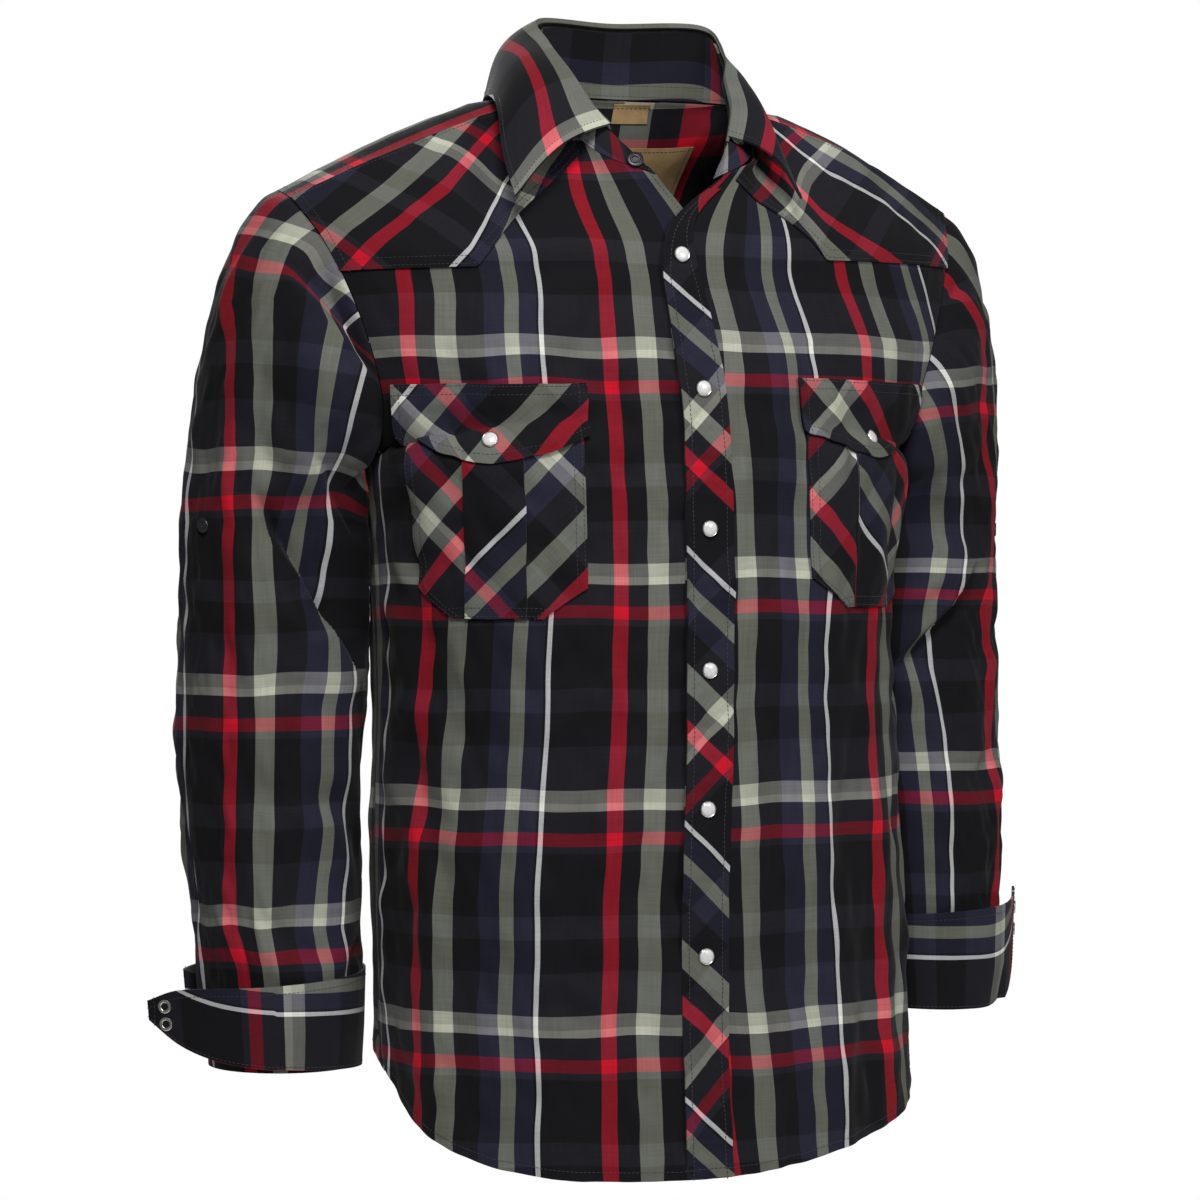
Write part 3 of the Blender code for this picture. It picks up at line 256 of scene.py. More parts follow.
THREAD, tree, shader, ply = clouded(
    "spun polyester thread", "ShaderNodeTexWave", {"Scale": 900.0, "Distortion": 2.0},
    "#17171B", "#34343B", {"Roughness": 0.6, "Sheen Weight": 0.2})
twist = add(tree, "ShaderNodeBump", {"Strength": 0.4, "Distance": 0.0001, "Height": ply})
tree.links.new(twist.outputs[0], shader.inputs["Normal"])

STITCHES = bpy.data.node_groups.new("row of stitches", "GeometryNodeTree")
for title, kind in (("Geometry", "Geometry"), ("Stitch length", "Float"), ("Pitch", "Float"),
                    ("Thread width", "Float"), ("Seed", "Int")):
    STITCHES.interface.new_socket(title, in_out="INPUT", socket_type="NodeSocket" + kind)
SOCKETS = {item.name: item.identifier for item in STITCHES.interface.items_tree}
STITCHES.interface.new_socket("Geometry", in_out="OUTPUT", socket_type="NodeSocketGeometry")
given = STITCHES.nodes.new("NodeGroupInput").outputs
line = add(STITCHES, "GeometryNodeMeshToCurve", {"Mesh": given["Geometry"]}).outputs[0]
line = add(STITCHES, "GeometryNodeResampleCurve", {"Curve": line, "Length": given["Pitch"]},
           mode="LENGTH").outputs[0]
tangent = add(STITCHES, "GeometryNodeInputTangent").outputs[0]
facing = add(STITCHES, "GeometryNodeInputNamedAttribute", {"Name": "facing"},
             data_type="FLOAT_VECTOR").outputs[0]
slant = add(STITCHES, "FunctionNodeRandomValue", {0: (-0.12,) * 3, 1: (0.12,) * 3,
                                                  "Seed": given["Seed"]}, data_type="FLOAT_VECTOR")
leaning = add(STITCHES, "ShaderNodeVectorMath", {0: tangent, 1: slant.outputs[0]}, operation="ADD")
turn = add(STITCHES, "FunctionNodeAlignRotationToVector", {"Vector": leaning.outputs[0]}, axis="X")
turn = add(STITCHES, "FunctionNodeAlignRotationToVector",
           {"Rotation": turn.outputs[0], "Vector": facing}, axis="Z", pivot_axis="X").outputs[0]
bead = add(STITCHES, "GeometryNodeMeshIcoSphere", {"Radius": 0.5, "Subdivisions": 2}).outputs[0]
size = add(STITCHES, "ShaderNodeCombineXYZ", {0: given["Stitch length"], 1: given["Thread width"],
                                              2: given["Thread width"]}).outputs[0]
rows = add(STITCHES, "GeometryNodeInstanceOnPoints", {"Points": line, "Instance": bead,
                                                      "Rotation": turn, "Scale": size}).outputs[0]
rows = add(STITCHES, "GeometryNodeRealizeInstances", {"Geometry": rows}).outputs[0]
rows = add(STITCHES, "GeometryNodeSetMaterial", {"Geometry": rows, "Material": THREAD}).outputs[0]
STITCHES.links.new(rows, STITCHES.nodes.new("NodeGroupOutput").inputs[0])
PROUD = 0.2        # a stitch's middle stands this share of the thread's width off the cloth


def sewn(name, lines, stitch=0.0022, pitch=0.0029, width=0.00042):
    """Rows of stitches along lines on the cloth, each given as its points and their facings."""
    mesh = bpy.data.meshes.new(name)
    points, facings, edges = [], [], []
    for line, facing in lines:
        edges += [(len(points) + k, len(points) + k + 1) for k in range(len(line) - 1)]
        points += (line + facing * width * PROUD).tolist()
        facings += facing.tolist()
    mesh.from_pydata(points, edges, [])
    held = mesh.attributes.new("facing", "FLOAT_VECTOR", "POINT")
    held.data.foreach_set("vector", np.ravel(facings))
    made = bpy.data.objects.new(name, mesh)
    bpy.context.scene.collection.objects.link(made)
    modifier = made.modifiers.new("stitches", "NODES")
    modifier.node_group = STITCHES
    for title, value in (("Stitch length", stitch), ("Pitch", pitch), ("Thread width", width),
                         ("Seed", 7)):
        modifier[SOCKETS[title]] = value
    bpy.context.view_layer.update()
    ready = made.evaluated_get(bpy.context.evaluated_depsgraph_get())
    ready = bpy.data.meshes.new_from_object(ready)
    made.modifiers.clear()
    made.data = ready
    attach(made, "root")


# ------------------------------------------------------------------------------------------------
# Fronts: two cotton panels on the straight grain with a curved shirt-tail hem, sewn to the back
# at the sides and to the yoke at the shoulders. The left one laps over the right one.
CLOTH, DOUBLE = 0.0011, 0.0018      # wall of one layer of cloth, and of the fused collar and cuffs
SEAM, LIFT = 0.0003, 0.0006         # gap between joined pieces, and under a piece sewn on top
SIDES = ((1, "left"), (-1, "right"))    # the wearer's left side is +X
LAP = 0.016
SNAP_HEIGHTS = (-0.104, -0.192, -0.284, -0.377, -0.468, -0.564)     # the cloth is flat round a snap
SIDE = 95.0                         # degrees from the centre front to the side seam
FRONT_HEM, BACK_HEM = -0.710, -0.720
SIDE_HEM = {1: -0.636, -1: -0.622}  # by side
HEM_CURVE = {1: 2.0, -1: 4.0}
TRUNK = (
    # z, half_width, front, back, square, lean, middle
    (-0.711, 0.189, 0.131, 0.120, 2.3, 0.012, -0.008),
    (-0.560, 0.187, 0.129, 0.114, 2.3, 0.007, -0.006),
    (-0.420, 0.182, 0.125, 0.110, 2.4, 0.004, 0.003),
    (-0.310, 0.184, 0.124, 0.113, 2.6, 0.000, 0.008),
    (-0.240, 0.190, 0.124, 0.118, 2.8, -0.002, 0.008),
)
ARMHOLE_FRONT = (
    # x, y, z
    (0.1890, 0.010, -0.240), (0.1885, -0.030, -0.230), (0.1925, -0.056, -0.200),
    (0.2040, -0.062, -0.160), (0.2170, -0.053, -0.120), (0.2300, -0.036, -0.086),
    (0.2400, -0.010, -0.063),
)
ARMHOLE_BACK = (
    # x, y, z
    (0.1890, 0.010, -0.240), (0.1900, 0.048, -0.229), (0.1960, 0.080, -0.198),
    (0.2070, 0.093, -0.158), (0.2190, 0.089, -0.116), (0.2310, 0.064, -0.078),
    (0.2400, 0.026, -0.054), (0.2400, -0.010, -0.063),
)
SHOULDER_LEAN = (-0.060, -0.0045)
SHOULDER_RISE = {1: 0.005, -1: -0.002}
RISE_FROM = (-0.13, 0.07)               # height where that rise starts, and over which
SHOULDER_BOW = (0.0, -0.003, 0.004)     # how far the shoulder seam bows from a straight line
SHOULDER_NECK = {1: 0.76, -1: 0.27}     # where the shoulder seam meets the neckline, by side
FRONT_MIDDLE = (
    # z, y, middle
    (-0.240, -0.124, 0.008), (-0.205, -0.1235, 0.004), (-0.170, -0.122, 0.000),
    (-0.140, -0.119, -0.004), (-0.112, -0.114, -0.006), (-0.082, -0.106, -0.004),
)
BACK_MIDDLE = (
    # z, y
    (-0.240, 0.118), (-0.205, 0.120), (-0.165, 0.120), (-0.122, 0.116), (-0.075, 0.107),
    (-0.030, 0.090),
)
NECK = (
    # seam x, y, z; fold x, y, z; edge x, y, z
    (-0.0210, -0.1010, -0.0500, -0.0300, -0.0940, -0.0335, -0.1240, -0.1140, -0.0690),
    (-0.0560, -0.0830, -0.0340, -0.0500, -0.0720, -0.0060, -0.1230, -0.0870, -0.0390),
    (-0.0740, -0.0480, -0.0060, -0.0540, -0.0350, 0.0230, -0.1110, -0.0400, -0.0010),
    (-0.0760, -0.0080, 0.0110, -0.0560, 0.0040, 0.0490, -0.1000, 0.0120, 0.0130),
    (-0.0560, 0.0400, 0.0190, -0.0490, 0.0420, 0.0710, -0.0740, 0.0720, 0.0130),
    (0.0100, 0.0660, 0.0220, 0.0110, 0.0600, 0.0735, 0.0110, 0.0960, 0.0130),
    (0.0680, 0.0400, 0.0190, 0.0720, 0.0420, 0.0730, 0.0860, 0.0680, 0.0170),
    (0.0820, -0.0040, 0.0110, 0.0740, 0.0080, 0.0480, 0.0870, 0.0120, 0.0150),
    (0.0740, -0.0440, -0.0040, 0.0580, -0.0300, 0.0270, 0.0840, -0.0290, 0.0060),
    (0.0560, -0.0780, -0.0340, 0.0500, -0.0590, 0.0020, 0.0830, -0.0720, -0.0280),
    (0.0240, -0.0950, -0.0500, 0.0400, -0.0760, -0.0205, 0.0810, -0.1110, -0.0625),
)
NECK_SHARE = 0.36
UNDERARM = len(TRUNK) - 1
ROWS_BELOW, ROWS_ABOVE = 140, 66      # fine rows below and above the underarm
COLUMNS_NECK, COLUMNS_SHOULDER = 36, 64
SIDE_EASE = 0.4         # share of a panel's width over which its side is moved to meet the other


def spline(rows, t):
    """Smooth curve through the rows, with t from 0 at the first row to 1 at the last."""
    rows = np.asarray(rows, float)
    t = np.asarray(t, float)
    place = np.clip(t, 0.0, 1.0) * (len(rows) - 1)
    i = np.minimum(place.astype(int), len(rows) - 2)
    f = (place - i)[..., None]
    padded = np.vstack([2 * rows[0] - rows[1], rows, 2 * rows[-1] - rows[-2]])
    a, b, c, d = padded[i], padded[i + 1], padded[i + 2], padded[i + 3]
    return 0.5 * (2 * b + (c - a) * f + (2 * a - 5 * b + 4 * c - d) * f**2
                  + (3 * b - a - 3 * c + d) * f**3)


def joined(*parts):
    """Points or places from their coordinates."""
    return np.stack(np.broadcast_arrays(*parts), axis=-1)


def unit(way):
    """The same direction, at length 1."""
    return way / np.maximum(np.linalg.norm(way, axis=-1, keepdims=True), 1e-9)


def through(value, start, width):
    """How far a value is through a range, from 0 to 1."""
    return np.clip((value - start) / width, 0, 1)


def ring_point(row, degrees):
    """Point of a trunk ring, with the angle from the centre front."""
    _, half_width, ahead, behind, square, _, _ = row
    sine, cosine = np.sin(np.radians(degrees)), np.cos(np.radians(degrees))
    power = 2.0 / square
    depth = np.where(cosine > 0, ahead, behind)
    return (half_width * np.sign(sine) * np.abs(sine) ** power,
            -depth * np.sign(cosine) * np.abs(cosine) ** power)


def run_along(line):
    """Length of a line of points up to each of them."""
    steps = np.linalg.norm(np.diff(line, axis=0), axis=-1)
    return np.concatenate([np.zeros((1,) + steps.shape[1:]), np.cumsum(steps, axis=0)])


def run_across(grid):
    """Length along each row of a grid, up to each of its columns."""
    return run_along(np.moveaxis(grid, 1, 0)).T


def even_steps(line, start, w):
    """Points of a line at shares w of its run from one of its points to its end."""
    run = run_along(line)
    place = run[start] + (run[-1] - run[start]) * w
    return joined(*(np.interp(place, run, column) for column in line.T))


BACK_RING, FRONT_RING = (180.0, SIDE, 241), (-30.0, SIDE, 341)    # degrees, degrees, points
PULL_REACH = 0.12       # distance from the middle over which the middle is pulled aside
BACK_HEM_CURVE = 1.8


def trunk_rows(side, w, behind):
    """The trunk's rings from hem to underarm, for columns from the middle to the side seam."""
    rows = []
    top, bottom = TRUNK[-1][0], TRUNK[0][0]
    for row in TRUNK:
        x, y = ring_point(row, np.linspace(*(BACK_RING if behind else FRONT_RING)))
        start = 0 if behind else int(np.argmin(np.abs(x + LAP)))
        line = even_steps(joined(x, y), start, w)
        pull = 0.0 if behind else row[6] * np.clip(1 - np.abs(line[:, 0]) / PULL_REACH, 0, 1)
        middle, power = (BACK_HEM, BACK_HEM_CURVE) if behind else (FRONT_HEM, HEM_CURVE[side])
        hem = middle + (SIDE_HEM[side] - middle) * w**power
        z = top + (hem - top) * ((top - row[0]) / (top - bottom))
        rows.append(joined(side * line[:, 0] + row[5] + pull, line[:, 1], z))
    return rows


ARC_POINTS, ARC_CLIMB = 121, 1.5        # the row climbs to its edge with this power of its run


def arc_row(middle, edge, w, bend, lap=0.0):
    """Row from the lap past the middle of a panel to its edge, along an arc of bend degrees."""
    turn = np.radians(bend) * np.linspace(0, 1, ARC_POINTS)
    across = np.sin(turn) / np.sin(turn[-1])
    back = (1 - np.cos(turn)) / (1 - np.cos(turn[-1]))
    line = joined(middle[0] + (edge[0] - middle[0]) * across,
                  middle[1] + (edge[1] - middle[1]) * back)
    start = line[:1] - (np.sign(edge[0]) * lap, 0)
    line = even_steps(np.concatenate([start, line]), 0, w)
    z = middle[2] + (edge[2] - middle[2]) * w**ARC_CLIMB
    return np.concatenate([line, z[:, None]], axis=-1)


def armhole(side, table, t):
    """Point of an armhole, from the underarm to the tip of the shoulder."""
    point = spline(table, t) * (side, 1, 1)
    lean = np.interp(point[..., 2], (TRUNK[-1][0], SHOULDER_LEAN[0]),
                     (TRUNK[-1][5], SHOULDER_LEAN[1]))
    rise = SHOULDER_RISE[side] * through(point[..., 2], *RISE_FROM)
    return point + joined(lean, 0, rise)


def neckline(u):
    """Seam between the stand and the body, from the wearer's right front end to the left one."""
    return spline([row[0:3] for row in NECK], u)


def shoulder_seam(side, t):
    """Shoulder seam from the neck to the tip of the shoulder."""
    neck, tip = neckline(SHOULDER_NECK[side]), armhole(side, ARMHOLE_FRONT, 1.0)
    t = np.asarray(t, float)[..., None]
    bow = (np.array(SHOULDER_BOW) + (0, 0, SHOULDER_RISE[side] / 2)) * np.sin(np.pi * t)
    return neck + (tip - neck) * t + bow


def top_edge(side, w, start):
    """Top of a front or of the yoke: the neckline from its start, then the shoulder seam."""
    u = start + (SHOULDER_NECK[side] - start) * through(w, 0, NECK_SHARE)
    t = through(w, NECK_SHARE, 1 - NECK_SHARE)
    return np.where((w <= NECK_SHARE)[..., None], neckline(u), shoulder_seam(side, t))


FRONT_BEND, BACK_BEND, BEND_STEP = 86.0, 88.0, 5.0      # degrees of arc, less for each row up
FRONT_REST, BACK_REST = 0.35, 0.60      # rows' worth of armhole between the last row and the tip
LAP_LAST = 0.5          # share of the lap that the last row below the neck has
BACK_ASIDE = 0.002      # how far each row's middle is moved aside, to meet the collar's middle


def front_rows(side, w):
    """Guide rows of a front, from hem to top, for columns w from front edge to side seam."""
    rows = trunk_rows(side, w, False)
    count = len(FRONT_MIDDLE)
    for k in range(1, count):
        z, y, middle = FRONT_MIDDLE[k]
        edge = armhole(side, ARMHOLE_FRONT, k / (count + FRONT_REST))
        lap = LAP * (LAP_LAST if k == count - 1 else 1.0)
        rows.append(arc_row((middle, y, z), edge, w, FRONT_BEND - BEND_STEP * k, lap))
    return rows + [top_edge(side, w, 1.0 if side > 0 else 0.0)]


# The last row behind the shoulder seam: its place from the seam at the shoulder and at the neck,
# and the shares of the width over which it changes from one to the other and closes at the tip.
RIDGE_OUT, RIDGE_NECK = (0.0, 0.040, 0.012), (0.0, 0.007, -0.010)
RIDGE_OVER, RIDGE_CLOSE = (0.2, 0.3), (0.7, 0.3)


def back_rows(side, w):
    """Guide rows of half of the back, from hem over the shoulder, from centre back to side."""
    rows = trunk_rows(side, w, True)
    count = len(BACK_MIDDLE)
    for k in range(1, count):
        z, y = BACK_MIDDLE[k]
        edge = armhole(side, ARMHOLE_BACK, k / (count + BACK_REST))
        rows.append(arc_row((BACK_ASIDE * k, y, z), edge, w, BACK_BEND - BEND_STEP * k))
    top = top_edge(side, w, 0.5)
    over = through(w, *RIDGE_OVER)[..., None]
    ridge = top + np.array(RIDGE_OUT) * over + np.array(RIDGE_NECK) * (1 - over)
    edge = armhole(side, ARMHOLE_BACK, 1 - 1 / (count + BACK_REST))
    close = through(w, *RIDGE_CLOSE)[..., None]
    ridge = ridge * (1 - close) + (edge + (top - armhole(side, ARMHOLE_BACK, 1.0))) * close
    return rows + [ridge, top]


def surface(rows, v):
    """Points of the surface through guide rows at heights v, as heights by columns by xyz."""
    stack = np.stack(rows)
    return spline(stack.reshape(len(stack), -1), v).reshape(len(v), *stack.shape[1:])


def meeting(own, other, heights):
    """How far a panel's side edge moves so that front and back share it below the underarm."""
    place = heights * (len(own) - 1)
    mine = surface(own, heights)[:, -1]
    theirs = surface(other, np.minimum(place / (len(other) - 1), 1))[:, -1]
    return np.where((place <= UNDERARM)[:, None], (theirs - mine) / 2, 0)[:, None]


def panel_heights(row_count):
    """Heights of a panel's fine rows, as shares of the way through its guide rows."""
    below = np.linspace(0, UNDERARM, ROWS_BELOW + 1)
    above = np.linspace(UNDERARM, row_count - 1, ROWS_ABOVE + 1)
    return np.concatenate([below, above[1:]]) / (row_count - 1)


def panel_columns():
    """Columns of half a panel, from its middle to its side seam, with one at the neck's end."""
    neck = np.linspace(0, NECK_SHARE, COLUMNS_NECK + 1)
    return np.concatenate([neck, np.linspace(NECK_SHARE, 1, COLUMNS_SHOULDER + 1)[1:]])


def normals(grid, wrap=False):
    """Outward unit normals of a grid whose columns run anticlockwise seen from above."""
    if wrap:
        across = np.roll(grid, -1, axis=1) - np.roll(grid, 1, axis=1)
    else:
        across = np.gradient(grid, axis=1)
    return unit(np.cross(across, np.gradient(grid, axis=0)))


def trimmed(grid, left=0.0, right=0.0, bottom=0.0, top=0.0):
    """The grid with its edges drawn in by these distances, which leaves the gaps of the seams."""
    grid = grid.copy()
    for amount, edge, inner in ((left, np.s_[:, 0], np.s_[:, 1]),
                                (right, np.s_[:, -1], np.s_[:, -2]),
                                (bottom, np.s_[0], np.s_[1]), (top, np.s_[-1], np.s_[-2])):
        grid[edge] += unit(grid[inner] - grid[edge]) * amount
    return grid


def placed(name, mesh, node):
    """Object of a finished mesh that rides on the shirt and shows in place of its CAD solid."""
    made = bpy.data.objects.new(name, mesh)
    bpy.context.scene.collection.objects.link(made)
    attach(made, "root")
    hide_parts(node)
    return made


def cloth_piece(node, grid, outward, wall, cut, wrap=False, lining=None, paper=None):
    """Closed wall of cloth, or of paper, whose outer face is the grid. The UV map is its place on
    the bolt, which a lining has apart."""
    name = node + ("_paper" if paper else "_cloth")
    rows, columns = grid.shape[:2]
    if wrap:
        grid, outward = [np.concatenate([a, a[:, :1]], axis=1) for a in (grid, outward)]
        columns += 1
    points = np.concatenate([grid.reshape(-1, 3), (grid - outward * wall).reshape(-1, 3)])
    index = np.arange(rows * columns).reshape(rows, columns)
    outer = corners_of(index)
    faces = [outer, outer[:, ::-1] + rows * columns]
    ends = [index[0], index[-1, ::-1]]
    for rim in ends if wrap else [ends[0], index[:, -1], ends[1], index[::-1, 0]]:
        inner = rim + rows * columns
        faces.append(np.stack([rim[:-1], inner[:-1], inner[1:], rim[1:]], axis=-1))
    faces = np.concatenate(faces)
    mesh = bpy.data.meshes.new(name)
    mesh.from_pydata(points.tolist(), [], faces.tolist())
    flat = np.concatenate([a.reshape(-1, 2) for a in (cut, cut if lining is None else lining)])
    faces[2 * len(outer):] %= rows * columns
    layer = mesh.uv_layers.new(name="cut")
    layer.data.foreach_set("uv", flat[faces.reshape(-1)].reshape(-1))
    if wrap:
        join(mesh)
    mesh.materials.append(paper or PLAID)
    mesh.shade_smooth()
    mesh.set_sharp_from_angle(angle=np.radians(60))
    return placed(name, mesh, node)


def corners_of(index):
    """The four corners of each face of a grid of numbered points."""
    quads = np.stack([index[:-1, :-1], index[:-1, 1:], index[1:, 1:], index[1:, :-1]], axis=-1)
    return quads.reshape(-1, 4)


def join(mesh):
    """Merges the doubled points of a tube's closing line."""
    work = bmesh.new()
    work.from_mesh(mesh)
    bmesh.ops.remove_doubles(work, verts=work.verts, dist=1e-6)
    work.to_mesh(mesh)
    work.free()


WAVES = 14
WAVE_DICE = (0, np.pi), (0.6, 1.5), (0, 2 * np.pi)     # turn, scale and phase of a wave


def wave_field(u, v, size, seed):
    """Smooth random field between about -1 and 1, with waves of the given size across u and v."""
    dice = np.random.default_rng(seed)
    field = 0 * u
    for _ in range(WAVES):
        turn, scale, phase = [dice.uniform(*ends) for ends in WAVE_DICE]
        field = field + np.sin(2 * np.pi * scale * (u * np.cos(turn) / size[0]
                                                    + v * np.sin(turn) / size[1]) + phase)
    return field / np.sqrt(WAVES)


def fade(t):
    """Smooth step from 0 to 1."""
    t = np.clip(t, 0, 1)
    return t * t * (3 - 2 * t)


FADED = 0.28            # share of a crease's length over which each end of it fades
RIDGE_SHARE, RIDGE_AWAY, RIDGE_WIDE = 0.5, 1.9, 1.3     # depth, place and width beside the trough's
WANDER = 0.25           # how far a crease strays off its line, in its own widths


def beside(line, across, height, around=None):
    """Share of the way along a line on the cloth, and distance from it. On a tube, around is the
    length once round it."""
    (a, z_a), (b, z_b) = line
    length = np.hypot(b - a, z_b - z_a)
    ux, uz = (b - a) / length, (z_b - z_a) / length
    aside = across - a
    if around:
        aside = (aside - (b - a) / 2 + around / 2) % around - around / 2 + (b - a) / 2
    t = (aside * ux + (height - z_a) * uz) / length
    return t, -aside * uz + (height - z_a) * ux


def creased(across, height, table, scale=1.0, around=None):
    """How far creases sink each place: a trough with a softer ridge beside it."""
    sunk = 0 * across
    for a, z_a, b, z_b, depth, width, bow in table:
        t, off = beside(((a * scale, z_a), (b * scale, z_b)), across, height, around)
        off = off - bow * 4 * t * (1 - t) + WANDER * width * np.sin(9 * t + 40 * a * scale)
        ridge = np.exp(-((off - RIDGE_AWAY * width) / (RIDGE_WIDE * width)) ** 2)
        trough = np.exp(-(off / width) ** 2) - RIDGE_SHARE * ridge
        sunk = sunk + depth * fade(t / FADED) * fade((1 - t) / FADED) * trough
    return sunk


# Where the stripes lie on each front: distance from the front edge to the first sage stripe, and
# how much wider than on the bolt they look there. The cloth leans and spreads a little as it hangs.
GRAIN = {
    1: (
        # z, first, stretch
        (-0.720, 0.0520, 1.04), (-0.529, 0.0438, 1.03), (-0.397, 0.0368, 0.985),
        (-0.312, 0.0362, 1.00), (-0.191, 0.0332, 1.04), (-0.158, 0.0348, 1.01),
        (-0.136, 0.0340, 0.95), (-0.108, 0.0312, 0.88), (-0.060, 0.0240, 0.76),
    ),
    -1: (
        # z, first, stretch
        (-0.720, 0.0640, 1.03), (-0.526, 0.0609, 1.015), (-0.396, 0.0584, 0.992),
        (-0.312, 0.0582, 0.97), (-0.192, 0.0576, 0.95), (-0.137, 0.0548, 0.95),
        (-0.060, 0.0540, 0.95),
    ),
}
WEFT_START = {1: -0.1536, -1: -0.1596}  # height where a repeat of the weft starts
WEFT_STRETCH = {1: 1.0, -1: 1.015}
FRONT_WAVES = ((0.0016, (0.060, 0.150), 11), (0.0009, (0.020, 0.036), 23))    # depth, size, seed
CALM_ABOVE, CALM_SHARE = -0.20, 0.65    # the chest is this much smoother than the cloth below it
FLAT_ROUND = 0.020                      # how far round a snap the cloth lies flat
FLAP_SNAP = {1: (0.1540, -0.223), -1: (0.1590, -0.230)}     # by side: distance and height
FOLDLESS_SIDE, FOLDLESS_HEM = 0.08, 0.01    # share of the width, and height, without folds
BOLT_WAVES = ((0.0009, (0.120, 0.110), 61), (0.0008, (0.090, 0.160), 67))   # depth, size, seed
NET = (-0.745, 0.03, 0.36)      # the heights from and to which places are found, and the distance
FRONT_FOLDS = {
    # Soft folds, as distance from the front edge and height of each end.
    1: (
        # distance, z, distance, z, depth, width, bow
        (0.240, -0.215, 0.205, -0.350, 0.0040, 0.010, 0.004),
        (0.262, -0.270, 0.190, -0.430, 0.0050, 0.012, 0.006),
        (0.258, -0.380, 0.215, -0.560, 0.0045, 0.012, -0.005),
        (0.060, -0.360, 0.080, -0.640, 0.0026, 0.014, 0.005),
        (0.130, -0.380, 0.150, -0.690, 0.0034, 0.018, 0.004),
        (0.190, -0.520, 0.205, -0.660, 0.0034, 0.012, -0.003),
        (0.100, -0.500, 0.095, -0.700, 0.0026, 0.012, 0.003),
        (0.070, -0.120, 0.120, -0.185, 0.0022, 0.009, 0.002),
        (0.050, -0.150, 0.062, -0.270, 0.0022, 0.010, 0.003),
    ),
    -1: (
        # distance, z, distance, z, depth, width, bow
        (0.232, -0.235, 0.210, -0.345, 0.0040, 0.010, 0.004),
        (0.255, -0.290, 0.160, -0.440, 0.0048, 0.013, 0.007),
        (0.245, -0.400, 0.180, -0.560, 0.0042, 0.012, -0.005),
        (0.090, -0.370, 0.112, -0.640, 0.0028, 0.014, 0.005),
        (0.170, -0.520, 0.190, -0.700, 0.0038, 0.016, 0.003),
        (0.060, -0.450, 0.064, -0.690, 0.0024, 0.012, -0.003),
        (0.215, -0.500, 0.225, -0.650, 0.0036, 0.012, 0.003),
        (0.060, -0.120, 0.110, -0.190, 0.0022, 0.009, 0.002),
        (0.075, -0.160, 0.064, -0.300, 0.0024, 0.010, 0.003),
    ),
}

LAP_RAMP = (0.27, 0.09)         # share of the width where the left front starts to rise, over which
LAP_MORE, LAP_MORE_FROM = 0.0014, (-0.13, 0.04)     # more above the first snap: how far, where


def side_met(grid, own, other, side, columns, heights):
    """A panel with its side eased towards the panel that it is sewn to."""
    edge = np.array([1.0])
    shift = meeting(own(side, edge), other(side, edge), heights)
    return grid + shift * through(columns, 1 - SIDE_EASE, SIDE_EASE)[None, :, None] ** 2


def front_grid(side, heights, columns):
    """Outer face of a front; the left one rises a little where it laps over the right one."""
    grid = surface(front_rows(side, columns), heights)
    grid = side_met(grid, front_rows, back_rows, side, columns, heights)
    if side > 0:
        ramp = np.clip((LAP_RAMP[0] - columns) / LAP_RAMP[1], 0, 1)
        clear = CLOTH + LIFT + SEAM + LAP_MORE * through(grid[..., 2], *LAP_MORE_FROM)
        grid = grid + normals(grid) * (clear * fade(ramp) * ramp)[..., None]
    return grid


def sample(table, i, j):
    """Values of a table at fractional rows i and columns j."""
    i = np.clip(i, 0, table.shape[0] - 1.001)
    j = np.clip(j, 0, table.shape[1] - 1.001)
    r, c = i.astype(int), j.astype(int)
    f, g = (i - r)[..., None], (j - c)[..., None]
    return ((table[r, c] * (1 - g) + table[r, c + 1] * g) * (1 - f)
            + (table[r + 1, c] * (1 - g) + table[r + 1, c + 1] * g) * f)


